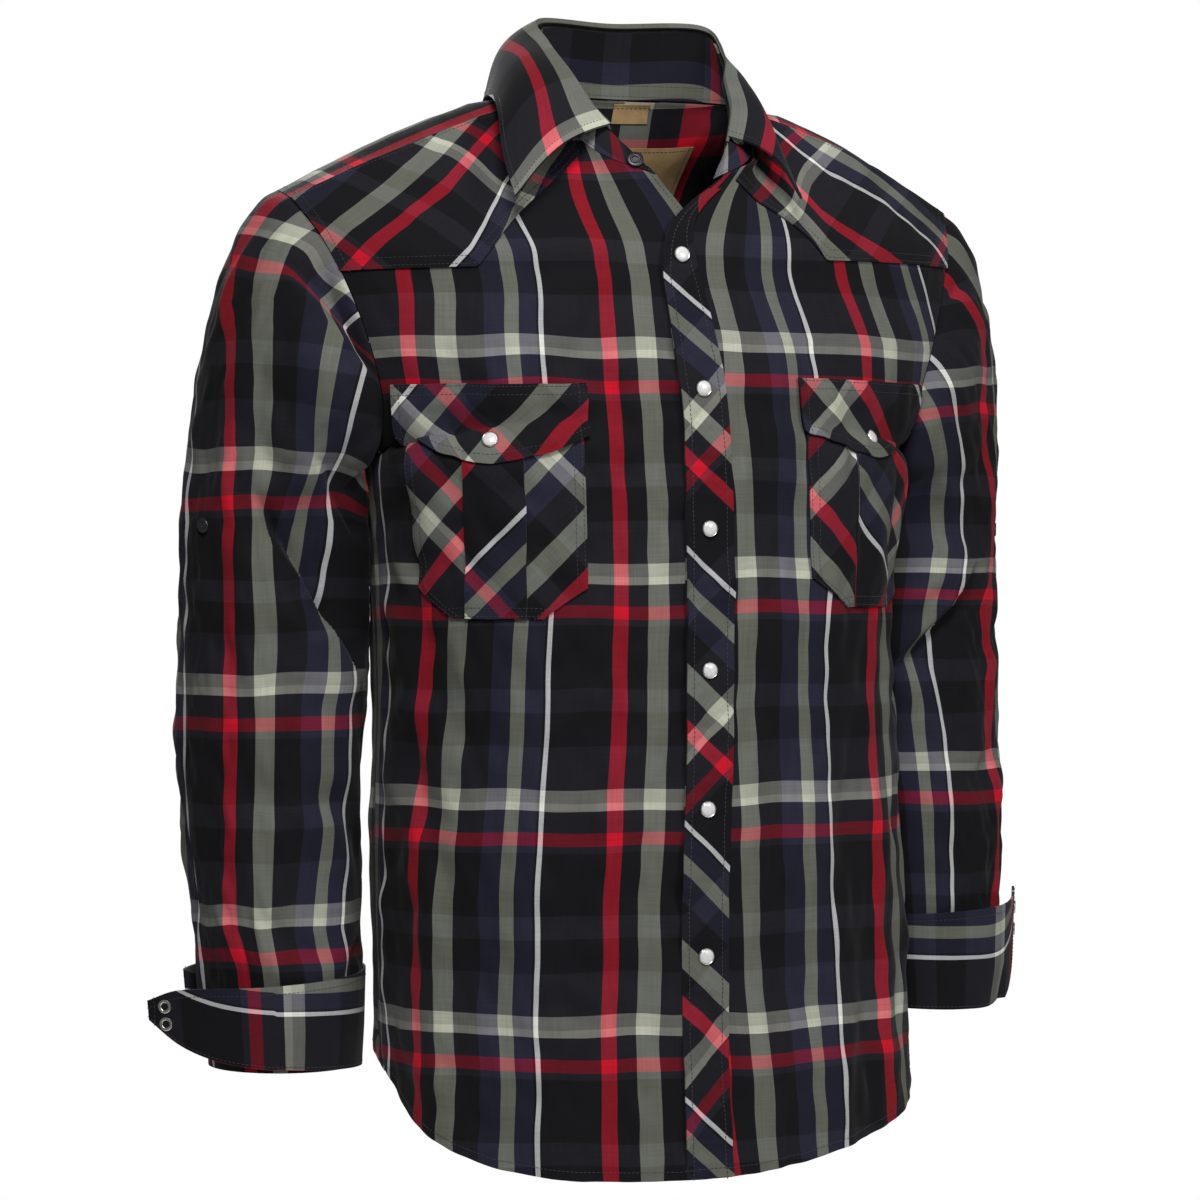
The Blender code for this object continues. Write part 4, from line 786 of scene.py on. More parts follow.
class Front:
    """A front's fine surface, where a place is found by its distance from the edge and height."""

    STEP = 0.002

    def __init__(self, side):
        """Lays out the panel with its folds, then finds a fine net of places on it."""
        self.side = side
        columns = panel_columns()
        plain = front_grid(side, panel_heights(len(front_rows(side, columns))), columns)
        self.run = run_across(plain)
        height = plain[..., 2]
        outward = normals(plain) * side
        ends = fade((1 - columns) / FOLDLESS_SIDE)
        ends = ends * fade((height - BACK_HEM) / FOLDLESS_HEM + 0.4)
        calm = 1 - CALM_SHARE * fade((height - CALM_ABOVE) / 0.05)
        sunk = creased(self.run, height, FRONT_FOLDS[side])
        for depth, wave, seed in FRONT_WAVES:
            sunk = sunk + depth * wave_field(self.run, height, wave, seed + side) * calm
        placket_snaps = [(LAP, z) for z in SNAP_HEIGHTS] if side > 0 else []
        for across, z in [FLAP_SNAP[side]] + placket_snaps:
            near = np.hypot(self.run - across, height - z) / FLAT_ROUND
            sunk = sunk * (1 - np.exp(-near ** 2))
        self.grid = plain - outward * (sunk * ends)[..., None]
        self.facing = normals(self.grid) * side
        self.facing[-1] = self.facing[-2]
        self.levels = np.arange(NET[0], NET[1], self.STEP)
        self.places = np.arange(0, NET[2], self.STEP)
        found = np.empty((len(self.levels), len(self.places), 2))
        numbers = np.arange(plain.shape[1])
        for k, level in enumerate(self.levels):
            rows = np.array([np.interp(level, z, np.arange(len(z))) for z in height.T])
            run = run_along(sample(plain, rows, numbers.astype(float)))
            found[k, :, 0] = np.interp(self.places, run, rows)
            found[k, :, 1] = np.interp(self.places, run, numbers)
        self.found = found

    def at(self, distance, z, lift=0.0):
        """Points at distances from the front edge and heights, lifted off the cloth; facings."""
        distance, z = np.broadcast_arrays(distance, z)
        spot = sample(self.found, (z - self.levels[0]) / self.STEP, distance / self.STEP)
        row, column = spot[..., 0], spot[..., 1]
        facing = unit(sample(self.facing, row, column))
        return sample(self.grid, row, column) + facing * np.asarray(lift)[..., None], facing

    def cut(self, distance, z):
        """Place on the bolt. The grain is straight and wanders by about a millimetre."""
        table = np.array(GRAIN[self.side])
        first, stretch = [np.interp(z, table[:, 0], table[:, k]) for k in (1, 2)]
        across, down = [depth * wave_field(distance, z, wave, seed + self.side)
                        for depth, wave, seed in BOLT_WAVES]
        return joined(self.side * (distance - first) / stretch + across,
                      (WEFT_START[self.side] - z) * WEFT_STRETCH[self.side] + down)


def sewing_lines(grid, facing, *edges):
    """Lines for rows of stitches, each as an edge of a grid and the distance inside it. A line is
    its points with their facings."""
    lines = []
    for edge, inset in edges:
        sheet, ways = grid, facing
        if edge in ("left", "right"):
            sheet, ways = np.moveaxis(sheet, 1, 0), np.moveaxis(ways, 1, 0)
        if edge in ("right", "top"):
            sheet, ways = sheet[::-1], ways[::-1]
        run = run_along(sheet)
        numbers = np.arange(run.shape[1])
        place = np.array([np.interp(inset, run[:, j], np.arange(len(run))) for j in numbers])
        lines.append((sample(sheet, place, numbers * 1.0), sample(ways, place, numbers * 1.0)))
    return lines


def from_left(side, *grids):
    """Grids of a piece of this side, turned where need be to run from the wearer's right side."""
    return grids if side > 0 else [grid[:, ::-1] for grid in grids]


fronts = {side: Front(side) for side, _ in SIDES}
hems = []
for side, word in SIDES:
    panel = fronts[side]
    grid, cut = trimmed(panel.grid, right=SEAM, top=SEAM), panel.cut(panel.run, panel.grid[..., 2])
    grid, facing, cut = from_left(side, grid, panel.facing, cut)
    piece = cloth_piece("front_" + word, grid, facing, CLOTH, cut)
    hems += sewing_lines(grid, facing, ("bottom", 0.006))
    if side < 0:
        hems += sewing_lines(grid, facing, ("right", 0.004))
sewn("hem_stitches_front", hems)

# ------------------------------------------------------------------------------------------------
# Front yokes: pointed pieces cut on the bias, laid on the fronts and topstitched along the lower
# edge. They end in the seams of the shoulder, armhole and collar.
YOKE = {
    # side: height at the armhole, corner x and z, end at the collar x and z
    1: (-0.098, 0.102, -0.103, 0.045, -0.052),
    -1: (-0.118, 0.143, -0.114, 0.070, -0.038),
}
BIAS = {
    # side: turn of the warp in degrees, bolt's place at the middle of the shirt
    1: (-135.0, (0.003, 0.0935)),
    -1: (135.0, (0.048, 0.1055)),
}
BIAS_JOG = (0.017, 0.10, 0.080)     # the cloth moves aside by this, from here on, over this width
YOKE_DIP = 0.004                    # how far the slope bows off a straight line
YOKE_OUT = 0.30                     # the height at the armhole is the lower edge's this far across
YOKE_LEAST = 4                      # rows of the front that the yoke has at least
YOKE_ROWS, YOKE_COLUMNS = 60, 90


def turned(across, up, degrees, start):
    """Place on the bolt of a piece cut with its grain turned, in its own across and up."""
    turn = np.radians(degrees)
    u = across * np.cos(turn) + up * np.sin(turn)
    v = across * np.sin(turn) - up * np.cos(turn)
    return joined(u + start[0], v + start[1])


def yoke_edge(side, x):
    """Height of a yoke's lower edge at places across, from its corner down to the armhole."""
    edge_z, corner_x, corner_z, inner_x, inner_z = YOKE[side]
    level = np.interp(x, (corner_x, YOKE_OUT), (corner_z, edge_z))
    share = (corner_x - x) / (corner_x - inner_x)
    dip = YOKE_DIP * np.sin(1.5 * np.pi * np.clip(share, 0, 1))
    return np.where(x > corner_x, level, corner_z + (inner_z - corner_z) * share + dip)


for side, word in SIDES:
    panel = fronts[side]
    rows, columns = panel.grid.shape[:2]
    above = panel.grid[..., 2] - yoke_edge(side, side * panel.grid[..., 0])
    low = np.array([np.interp(0, above[:, j], np.arange(rows)) for j in range(columns)])
    used = np.arange(columns)[low < rows - YOKE_LEAST]
    across = np.linspace(used[0], columns - 1, YOKE_COLUMNS)
    start = np.interp(across, used, low[used])
    t = np.linspace(0, 1, YOKE_ROWS)[:, None]
    i, j = start + (rows - 1 - start) * t, across + 0 * t
    facing = unit(sample(panel.facing, i, j))
    grid = sample(panel.grid, i, j) + facing * (LIFT + CLOTH)
    run = run_across(grid)
    across_cloth = grid[:, -1:, 0] - side * (run[:, -1:] - run)
    up_cloth = grid[:1, :, 2] + run_along(grid)
    cut = turned(across_cloth, up_cloth, *BIAS[side])
    cut[..., 0] += BIAS_JOG[0] * fade((across_cloth - BIAS_JOG[1]) / BIAS_JOG[2])
    grid, facing, cut = from_left(side, trimmed(grid, right=SEAM, top=SEAM), facing, cut)
    piece = cloth_piece("front_yoke_" + word, grid, facing, CLOTH, cut)
    inner_edge = "left" if side < 0 else "right"
    sewn("yoke_stitches_" + word, sewing_lines(
        grid, facing, ("bottom", 0.0022), ("bottom", 0.0080), (inner_edge, 0.006), ("top", 0.0025)))

# ------------------------------------------------------------------------------------------------
# Back and back yoke: a straight-grain back with its shirt tail, and a yoke that goes over the
# shoulders to the fronts. The seam between them lies across the shoulder blades.
BACK_SEAM = ROWS_BELOW + 26     # row of the seam between the back and its yoke
YOKE_START = 0.110              # bolt's place at the shoulder seam; the warp runs across the back
YOKE_DEPTH = 0.215              # from the seam with the back to the middle of a shoulder seam
LINING_START, LINING_WEFT = 0.168, 0.0256       # the lining is on the other grain
LINING_STRETCH = 1.4
BACK_WAVES = ((0.0018, (0.070, 0.160), 5), (0.0008, (0.024, 0.045), 6))     # depth, size, seed
CALM_SIDE, CALM_TOP = 0.08, 30  # share of the width, and rows, over which the folds end
YOKE_EASE, NECK_EASE = 0.09, 0.10   # cloth and share of width over which its stripes meet the seam
BACK_FOLDS = (
    # distance from centre, z, distance, z, depth, width, bow
    (0.020, -0.330, 0.160, -0.420, 0.0060, 0.015, 0.010),
    (-0.010, -0.360, -0.150, -0.440, 0.0065, 0.015, -0.010),
    (0.060, -0.240, 0.200, -0.300, 0.0055, 0.014, 0.006),
    (-0.060, -0.230, -0.200, -0.300, 0.0055, 0.014, -0.006),
    (0.130, -0.450, 0.110, -0.690, 0.0055, 0.018, 0.004),
    (-0.120, -0.450, -0.100, -0.690, 0.0055, 0.018, -0.004),
    (0.020, -0.430, 0.010, -0.700, 0.0040, 0.022, 0.004),
    (0.190, -0.330, 0.120, -0.470, 0.0045, 0.013, -0.006),
    (-0.180, -0.320, -0.060, -0.480, 0.0045, 0.014, 0.006),
)


def back_grid(heights, columns):
    """Outer face of the whole back, from the wearer's left side to the right one."""
    left, right = [side_met(surface(back_rows(side, columns), heights), back_rows, front_rows, side,
                            columns, heights) for side, _ in SIDES]
    middle = (left[:, :1] + right[:, :1]) / 2
    return np.concatenate([left[:, :0:-1], middle, right[:, 1:]], axis=1)


columns = panel_columns()
plain = back_grid(panel_heights(len(back_rows(1, columns))), columns)
rows_left = (len(plain) - 1 - np.arange(len(plain)))[:, None]
run = run_across(plain)
centre = plain.shape[1] // 2
across = run[:, centre:centre + 1] - run
share = np.abs(np.arange(plain.shape[1]) - centre) / centre
sunk = creased(across, plain[..., 2], BACK_FOLDS)
for depth, wave, seed in BACK_WAVES:
    sunk = sunk + depth * wave_field(across, plain[..., 2], wave, seed)
calm = fade((1 - share) / CALM_SIDE) * fade(rows_left / CALM_TOP)
whole_back = plain - normals(plain) * (sunk * calm)[..., None]
way = normals(whole_back)
back, back_facing = whole_back[:BACK_SEAM + 1], way[:BACK_SEAM + 1]
yoke, yoke_facing = whole_back[BACK_SEAM:], way[BACK_SEAM:]

cut = joined(across, WEFT_START[-1] - plain[..., 2])[:BACK_SEAM + 1]
piece = cloth_piece("back", trimmed(back, SEAM, SEAM, 0, SEAM / 2), back_facing, CLOTH, cut)

yoke_run = run_along(yoke)
beyond = np.abs(np.concatenate([columns[:0:-1], columns])) - NECK_SHARE
near = fade(1 - (yoke_run[-1:] - yoke_run) / YOKE_EASE) * fade(beyond / NECK_EASE)
up_cloth = YOKE_START + YOKE_DEPTH - yoke_run + (yoke_run[-1:] - YOKE_DEPTH) * near
cut = joined(up_cloth, across[BACK_SEAM:])
lining = joined(LINING_START - yoke[..., 0] / LINING_STRETCH,
                LINING_WEFT - yoke[..., 2] / LINING_STRETCH)
piece = cloth_piece("back_yoke", trimmed(yoke, SEAM, SEAM, SEAM / 2, SEAM), yoke_facing, CLOTH, cut,
                    lining=lining)
sewn("back_stitches", sewing_lines(back, back_facing, ("bottom", 0.006)) + sewing_lines(
    yoke, yoke_facing, ("bottom", 0.0022), ("left", 0.006), ("right", 0.006)))

# ------------------------------------------------------------------------------------------------
# Sleeves: one-piece sleeves set into the armholes and closed under the arm. They hang with deep
# folds at the cap and the elbow.
SLEEVE = (
    # x, y, z, half_width, half_depth, lean
    (0.2380, 0.040, -0.290, 0.0625, 0.064, -0.0050),
    (0.2372, 0.043, -0.350, 0.0652, 0.063, -0.0035),
    (0.2398, 0.045, -0.410, 0.0635, 0.062, -0.0030),
    (0.2420, 0.045, -0.470, 0.0605, 0.060, -0.0010),
    (0.2420, 0.045, -0.530, 0.0575, 0.058, 0.0030),
    (0.2415, 0.045, -0.580, 0.0540, 0.055, 0.0055),
    (0.2415, 0.045, -0.640, 0.0505, 0.052, 0.0075),
)
SLEEVE_END = {1: -0.622, -1: -0.645}
CAP_ROWS, ARM_ROWS = 80, 150
DENSER = 1.45                   # columns of the sleeve for each place of the armhole
FOLDLESS_TOP, FOLDLESS_END = 7, 10      # rows at the armhole and at the cuff without folds
ARM = 0.062                     # mean radius of the sleeve, which turns degrees into cloth
ROUND = 2 * np.pi * ARM
DEGREE = ROUND / 360            # cloth to a degree round the sleeve
SLEEVE_WAVES = ((0.0014, (0.055, 0.110), 31), (0.0006, (0.018, 0.030), 41))     # depth, size, seed
GRAIN_WAVES = ((0.0010, (0.090, 0.110), 51), (0.0010, (0.070, 0.160), 57))      # depth, size, seed
WINDING = 1.7                   # how the waves run on round the sleeve without a break
SLEEVE_FOLDS = (
    # degrees (0 towards the trunk, 90 in front), z, degrees, z, depth (a bulge where it is
    # negative), width, bow
    (104, -0.320, 60, -0.345, 0.0040, 0.009, 0.002),
    (80, -0.445, 12, -0.510, 0.0040, 0.012, 0.003),
    (150, -0.430, 90, -0.470, 0.0028, 0.012, 0.003),
    (170, -0.330, 120, -0.380, 0.0028, 0.011, 0.003),
    (210, -0.470, 280, -0.520, 0.0035, 0.012, 0.003),
    (130, -0.540, 60, -0.570, 0.0028, 0.010, 0.002),
    (30, -0.300, -40, -0.340, 0.0035, 0.012, 0.002),
    (150, -0.130, 96, -0.230, 0.0030, 0.012, 0.004),
    (140, -0.200, 90, -0.262, 0.0026, 0.010, 0.003),
    (90, -0.400, 130, -0.500, 0.0024, 0.012, -0.003),
    (60, -0.590, 20, -0.560, 0.0030, 0.010, 0.002),
    (22, -0.230, 16, -0.370, -0.0110, 0.030, 0.000),
)
BACK_TUCKS = (
    # degrees, z, degrees, z, depth, reach, bow, hidden
    (322, -0.400, 240, -0.262, 0.0110, 0.026, 0.006, 0.000),
    (312, -0.205, 228, -0.112, 0.0110, 0.028, -0.004, 0.000),
    (300, -0.460, 250, -0.420, 0.0050, 0.018, 0.003, 0.000),
)
TUCKS = {
    # Folds that hang over the cloth beside them: it drops at the line and comes back slowly. The
    # cloth hidden in a fold moves the stripes beside it.
    1: (
        # degrees, z, degrees, z, depth, reach, bow, hidden
        (66, -0.190, 152, -0.108, 0.0110, 0.030, 0.002, 0.000),
        (120, -0.301, 44, -0.384, 0.0130, 0.028, 0.004, -0.018),
        (62, -0.262, 20, -0.212, 0.0080, 0.020, 0.003, 0.000),
    ) + BACK_TUCKS,
    -1: (
        # degrees, z, degrees, z, depth, reach, bow, hidden
        (48, -0.214, 164, -0.105, 0.0120, 0.032, 0.000, 0.000),
        (30, -0.394, 126, -0.256, 0.0140, 0.030, -0.006, 0.021),
        (62, -0.262, 20, -0.212, 0.0080, 0.020, 0.003, 0.000),
        (46, -0.300, 96, -0.236, 0.0050, 0.016, 0.003, 0.000),
    ) + BACK_TUCKS,
}
TUCK_DROP = 0.0050
TUCK_ENDS = (0.22, 0.28)        # share of a tuck's length over which its start and end fade
TUCK_WAVE = (0.0012, 11.0)      # depth and pace of the small waves along it
TUCK_BULGE = (0.35, 0.60, 0.55)     # height, place and width of the bulge above it, in its own
HIDDEN_REACH = 0.055            # how far the stripes beside a tuck stay moved
CAP_SLANT = {1: 0, -1: 34}      # degrees the cloth between the cap's fold and the armhole is turned
SLANT_WIDE = (0.085, 0.02)      # how far the turned cloth goes from the fold, and how soon it ends
SLANT_LONG = (-0.05, 0.2, 1.08, 0.25)   # start and fade, end and fade, in the fold's length


def tucked(across, height, table):
    """How far cloth sinks beside folds that hang over it, and how far its stripes move."""
    sunk, moved = 0 * across, 0 * across
    rise, place, wide = TUCK_BULGE
    for a, z_a, b, z_b, depth, reach, bow, hidden in table:
        t, off = beside(((a * DEGREE, z_a), (b * DEGREE, z_b)), across, height, ROUND)
        off = off - bow * 4 * t * (1 - t) + TUCK_WAVE[0] * np.sin(TUCK_WAVE[1] * t + a)
        ends = fade(t / TUCK_ENDS[0]) * fade((1 - t) / TUCK_ENDS[1])
        over = fade(off / TUCK_DROP)
        beyond = over * np.exp(-np.clip(off - TUCK_DROP, 0, None) / reach)
        bulge = rise * np.exp(-((off + place * reach) / (wide * reach)) ** 2)
        sunk = sunk + depth * ends * (beyond - bulge)
        moved = moved + hidden * ends * over * np.exp(-np.clip(off, 0, None) / HIDDEN_REACH)
    return sunk, moved


def slanted(side, across, height):
    """How the cloth that is turned beside the cap's fold moves on the bolt."""
    a, z_a, b, z_b = TUCKS[side][0][:4]
    t, off = beside(((a * DEGREE, z_a), (b * DEGREE, z_b)), across, height, ROUND)
    start, start_fade, end, end_fade = SLANT_LONG
    share = fade(off / TUCK_DROP) * fade((SLANT_WIDE[0] - off) / SLANT_WIDE[1])
    share = share * fade((t - start) / start_fade) * fade((end - t) / end_fade)
    slant = np.radians(CAP_SLANT[side])
    in_run, up = b * DEGREE - across, height - z_b
    more_u = side * (in_run * (1 - np.cos(slant)) + up * np.sin(slant))
    more_v = up * (1 - np.cos(slant)) - in_run * np.sin(slant)
    return share * more_u, share * more_v


BENT = 0.5                      # how far the bend in the stripes goes
BENT_ENDS = (1.0, 3.6)          # radians from the front where it starts to die out, and over which
SLEEVE_START, SLEEVE_STRETCH = 0.020, 1.05      # weft under the cap, and stretch down the arm
SLEEVE_CUT = {
    # The folds at the cap and elbow take cloth up, so the stripes shift and bend on the way down.
    1: (
        # z, first (bolt's place in front), bend, weft (how far the weft is moved), spread
        (-0.640, 0.076, -0.80, -0.013, 1), (-0.549, 0.076, -0.80, -0.013, 1),
        (-0.460, 0.075, -0.40, -0.013, 1), (-0.416, 0.074, -0.10, -0.015, 1),
        (-0.370, 0.069, -0.45, -0.017, 1), (-0.345, 0.064, 0.00, -0.021, 1),
        (-0.318, 0.058, 0.60, -0.027, 1), (-0.295, 0.054, 0.90, -0.036, 1),
        (-0.258, 0.060, 1.20, -0.041, 1), (-0.226, 0.063, 1.80, -0.042, 1),
        (-0.195, 0.066, 1.30, -0.044, 1), (-0.165, 0.067, 0.50, -0.046, 1),
        (-0.120, 0.069, 0.00, -0.046, 1),
    ),
    -1: (
        # z, first (bolt's place in front), bend, weft (how far the weft is moved), spread
        (-0.660, 0.1660, 0.25, 0.0470, 1.00), (-0.575, 0.1700, 0.25, 0.0465, 1.00),
        (-0.550, 0.1750, 0.25, 0.0465, 1.00), (-0.480, 0.1670, 0.25, 0.0450, 1.00),
        (-0.410, 0.1660, 0.25, 0.0445, 1.00), (-0.370, 0.1670, 0.25, 0.0430, 1.00),
        (-0.318, 0.1700, 0.25, 0.0370, 1.02), (-0.280, 0.1730, 0.25, 0.0340, 1.10),
        (-0.262, 0.1785, 0.25, 0.0345, 1.15), (-0.235, 0.1835, 0.25, 0.0370, 1.17),
        (-0.198, 0.1975, 0.25, 0.0410, 1.17), (-0.163, 0.2115, 0.25, 0.0430, 1.12),
        (-0.134, 0.2230, 0.25, 0.0440, 1.05), (-0.100, 0.2320, 0.25, 0.0440, 1.00),
    ),
}


def armhole_ring(side):
    """Armhole, from the underarm up the front to the shoulder tip and down the back."""
    edge = np.array([1.0])
    rows = {}
    for word, make in (("front", front_rows), ("back", back_rows)):
        guide = make(side, edge)
        rows[word] = surface(guide, panel_heights(len(guide))[ROWS_BELOW:])[:, 0]
    return np.concatenate([rows["front"], rows["back"][-2:0:-1]])


def sleeve_ring(side, t, count):
    """Ring of the hanging sleeve, with t from 0 under the cap to 1 at its end."""
    x, y, z, half_width, half_depth, lean = spline(SLEEVE, t)
    angle = np.linspace(0, 2 * np.pi, count, endpoint=False)
    return joined(lean + side * (x - half_width * np.cos(angle)), y - half_depth * np.sin(angle), z)


CAP_LEAVE = ((0.03, 0, -0.09), (0.145, 0, -0.07), (0, -0.03, 0))    # under the arm, on top, ahead
CAP_ARRIVE = ((0, 0, -0.05), (0, 0, -0.20))                         # under the arm, on top


def sleeve_grid(side):
    """Outer face of a sleeve: its cap from the armhole, then the rings of the arm."""
    start = armhole_ring(side)
    count = len(start)
    first = sleeve_ring(side, 0.0, count)
    turn = np.arange(count) / count * 2 * np.pi
    top = ((1 - np.cos(turn)) / 2)[:, None]
    low, high, ahead = [np.array(way) * (side, 1, 1) for way in CAP_LEAVE]
    leave = high * top + low * (1 - top)
    leave = leave + ahead * np.sin(turn)[:, None]
    arrive = np.array(CAP_ARRIVE[1]) * top + np.array(CAP_ARRIVE[0]) * (1 - top)
    rings = []
    for t in np.linspace(0, 1, CAP_ROWS, endpoint=False):
        rings.append((2 * t**3 - 3 * t**2 + 1) * start + (t**3 - 2 * t**2 + t) * leave
                     + (3 * t**2 - 2 * t**3) * first + (t**3 - t**2) * arrive)
    for t in np.linspace(0, 1, ARM_ROWS):
        ring = sleeve_ring(side, t, count)
        share = (ring[:, 2] - SLEEVE[0][2]) / (SLEEVE[-1][2] - SLEEVE[0][2])
        ring[:, 2] = SLEEVE[0][2] + share * (SLEEVE_END[side] - SLEEVE[0][2])
        rings.append(ring)
    return np.array(rings)


BESIDE_TRUNK = (40.0, 140.0, 101)       # degrees of the trunk's rings beside a sleeve, points
LOW_GAP_BELOW, GAP_ABOVE = -0.56, -0.50     # heights between which one gap goes over to the other


def kept_clear(grid, side, gap, low_gap):
    """Points of a sleeve or cuff, moved off the trunk where they come nearer than the gap."""
    grid = grid.copy()
    table = np.array(TRUNK)
    top, bottom = TRUNK[-1][0], TRUNK[0][0]
    angle = np.linspace(*BESIDE_TRUNK)
    for point in grid.reshape(-1, 3):
        if point[2] > top + 0.004:
            continue
        height = top + (point[2] - top) * (bottom - top) / (SIDE_HEM[side] - top)
        row = [np.interp(height, table[:, 0], column) for column in table.T]
        x, y = ring_point(row, angle)
        wall = np.interp(point[1], y, x) + side * row[5]
        room = np.interp(point[2], (LOW_GAP_BELOW, GAP_ABOVE), (low_gap, gap))
        if side * point[0] < wall + room:
            point[0] = side * (wall + room)
    return grid


SLEEVE_CLEAR = (0.0022, 0.0062)     # gap to the trunk down the arm, and at the sleeve's end
sleeves = {}
for side, word in SIDES:
    plain = sleeve_grid(side)
    count = int(DENSER * plain.shape[1])
    number = np.arange(count) / count * plain.shape[1]
    closed = np.concatenate([plain, plain[:, :2]], axis=1)
    plain = sample(closed, np.arange(len(plain), dtype=float)[:, None] + 0 * number,
                   number + 0 * plain[:, :1, 0])
    flip = np.s_[::-1] if side > 0 else np.s_[::-1, ::-1]
    outward = normals(plain[flip], True)[flip]
    height = plain[..., 2]
    turn = np.radians(np.arange(count) / count * 360 + 0 * height)
    around = turn * ARM
    wound = np.cos(turn) * ARM + np.sin(turn) * ARM * WINDING
    low, moved = tucked(around, height, TUCKS[side])
    sunk = creased(around, height, SLEEVE_FOLDS, DEGREE, ROUND) + low
    for depth, wave, seed in SLEEVE_WAVES:
        sunk = sunk + depth * wave_field(wound, height, wave, seed + side)
    place = np.arange(len(plain))[:, None]
    free = fade(place / FOLDLESS_TOP) * fade((len(plain) - 1 - place) / FOLDLESS_END)
    grid = plain - outward * (sunk * free)[..., None]
    grid[1:] = kept_clear(grid[1:], side, *SLEEVE_CLEAR)
    z, *laid = np.array(SLEEVE_CUT[side]).T
    first, bend, weft, spread = [np.interp(height, z, column) for column in laid]
    turn = turn - np.pi / 2
    bent = (1 - np.exp((np.cos(turn) - 1) / BENT)) * BENT
    bent = bent * (1 - fade((turn - BENT_ENDS[0]) / BENT_ENDS[1]))
    more_u, more_v = slanted(side, around, height)
    wander_u, wander_v = [depth * wave_field(wound, height, wave, seed + side)
                          for depth, wave, seed in GRAIN_WAVES]
    u = first + side * ARM * (turn * spread + bend * bent) - side * moved + more_u + wander_u
    length = run_along(plain)
    v = (length - length[CAP_ROWS]) / SLEEVE_STRETCH + SLEEVE_START + weft + more_v + wander_v
    grid = trimmed(grid, bottom=SEAM * 1.5)[::-1]
    grid, cut = from_left(side, grid, joined(u, v)[::-1])
    facing = normals(grid, True)
    sleeves[side] = grid
    cut = np.concatenate([cut, 2 * cut[:, -1:] - cut[:, -2:-1]], axis=1)
    piece = cloth_piece("sleeve_" + word, grid, facing, CLOTH, cut, wrap=True)

# ------------------------------------------------------------------------------------------------
# Cuffs: two fused layers, sewn to the sleeve ends, unsnapped and turned back over them. The front
# end of each flies out from the sleeve.
CUFF_HEIGHT = 0.066
CUFF = {
    1: (
        # degrees, off, rise, drop
        (-160, 0.012, 0.010, 0.002), (-130, 0.0050, 0.003, 0.000), (-90, 0.0036, 0.000, 0.000),
        (-45, 0.0034, 0.000, 0.000), (0, 0.0034, 0.000, 0.000), (45, 0.0036, 0.000, 0.000),
        (90, 0.0045, -0.001, -0.002), (125, 0.0070, 0.000, -0.004), (148, 0.0090, 0.010, -0.006),
        (162, 0.0120, 0.030, -0.009), (172, 0.0150, 0.056, -0.014),
    ),
    -1: (
        # degrees, off, rise, drop
        (-160, 0.012, 0.012, 0.002), (-130, 0.0060, 0.004, 0.000), (-90, 0.0040, 0.000, 0.000),
        (-45, 0.0034, 0.000, 0.000), (0, 0.0034, 0.000, 0.000), (45, 0.0040, 0.001, 0.003),
        (90, 0.0060, 0.003, 0.006), (120, 0.0100, 0.005, 0.008), (145, 0.0190, 0.010, 0.009),
        (162, 0.0310, 0.020, 0.011), (172, 0.0440, 0.036, 0.018),
    ),
}
CUFF_CUT = {
    # side: bolt's place at the fold and at the back end; the warp runs along the cuff
    1: (0.1130, 0.0113),
    -1: (0.1140, 0.0464),
}
CUFF_STRETCH = 1.10
CUFF_ROWS, CUFF_COLUMNS = 28, 130
CUFF_CLEAR = 0.0016     # gap to the trunk
CUFF_CLOSE = 0.008      # a cuff that stands off less than this lies on the sleeve at its fold
CUFF_BELOW = 0.001      # how far its fold hangs below the sleeve's end
CUFF_OPENS = 2.5        # how fast it opens from the fold up, where it stands off more


def cuff_grid(side):
    """Outer face of a turned-back cuff, from its fold up to its free edge."""
    angle, off, rise, drop = spline(CUFF[side], np.linspace(0, 1, CUFF_COLUMNS)).T
    angle = np.radians(angle)
    low = SLEEVE_END[side] - CUFF_BELOW + rise
    high = SLEEVE_END[side] + CUFF_HEIGHT - drop
    table = np.array(SLEEVE)[::-1]
    rows = []
    for t in np.linspace(0, 1, CUFF_ROWS):
        z = low + (high - low) * t
        x, y, _, half_width, half_depth, lean = [np.interp(z, table[:, 2], column)
                                                 for column in table.T]
        close = np.where(off < CUFF_CLOSE, np.minimum(off, DOUBLE + LIFT + SEAM), off)
        reach = close + (off - close) * np.clip(t * CUFF_OPENS, 0, 1)
        rows.append(joined(lean + side * (x - (half_width + reach) * np.cos(angle)),
                           y - (half_depth + reach) * np.sin(angle), z))
    return np.array(rows)


cuffs = {}
for side, word in SIDES:
    grid = kept_clear(cuff_grid(side), side, CUFF_CLEAR, CUFF_CLEAR)
    up = run_along(grid)
    around = run_across(grid[CUFF_ROWS // 2:][:1])
    start_u, start_v = CUFF_CUT[side]
    cut = joined(start_u - up * CUFF_STRETCH, start_v + around)
    grid, cut = from_left(side, grid, cut)
    facing = normals(grid)
    cuffs[side] = grid
    sewn("cuff_stitches_" + word, sewing_lines(
        grid, facing, ("top", 0.005), ("left", 0.005), ("right", 0.005), ("bottom", 0.002)))
    piece = cloth_piece("cuff_" + word, grid, facing, DOUBLE, cut)

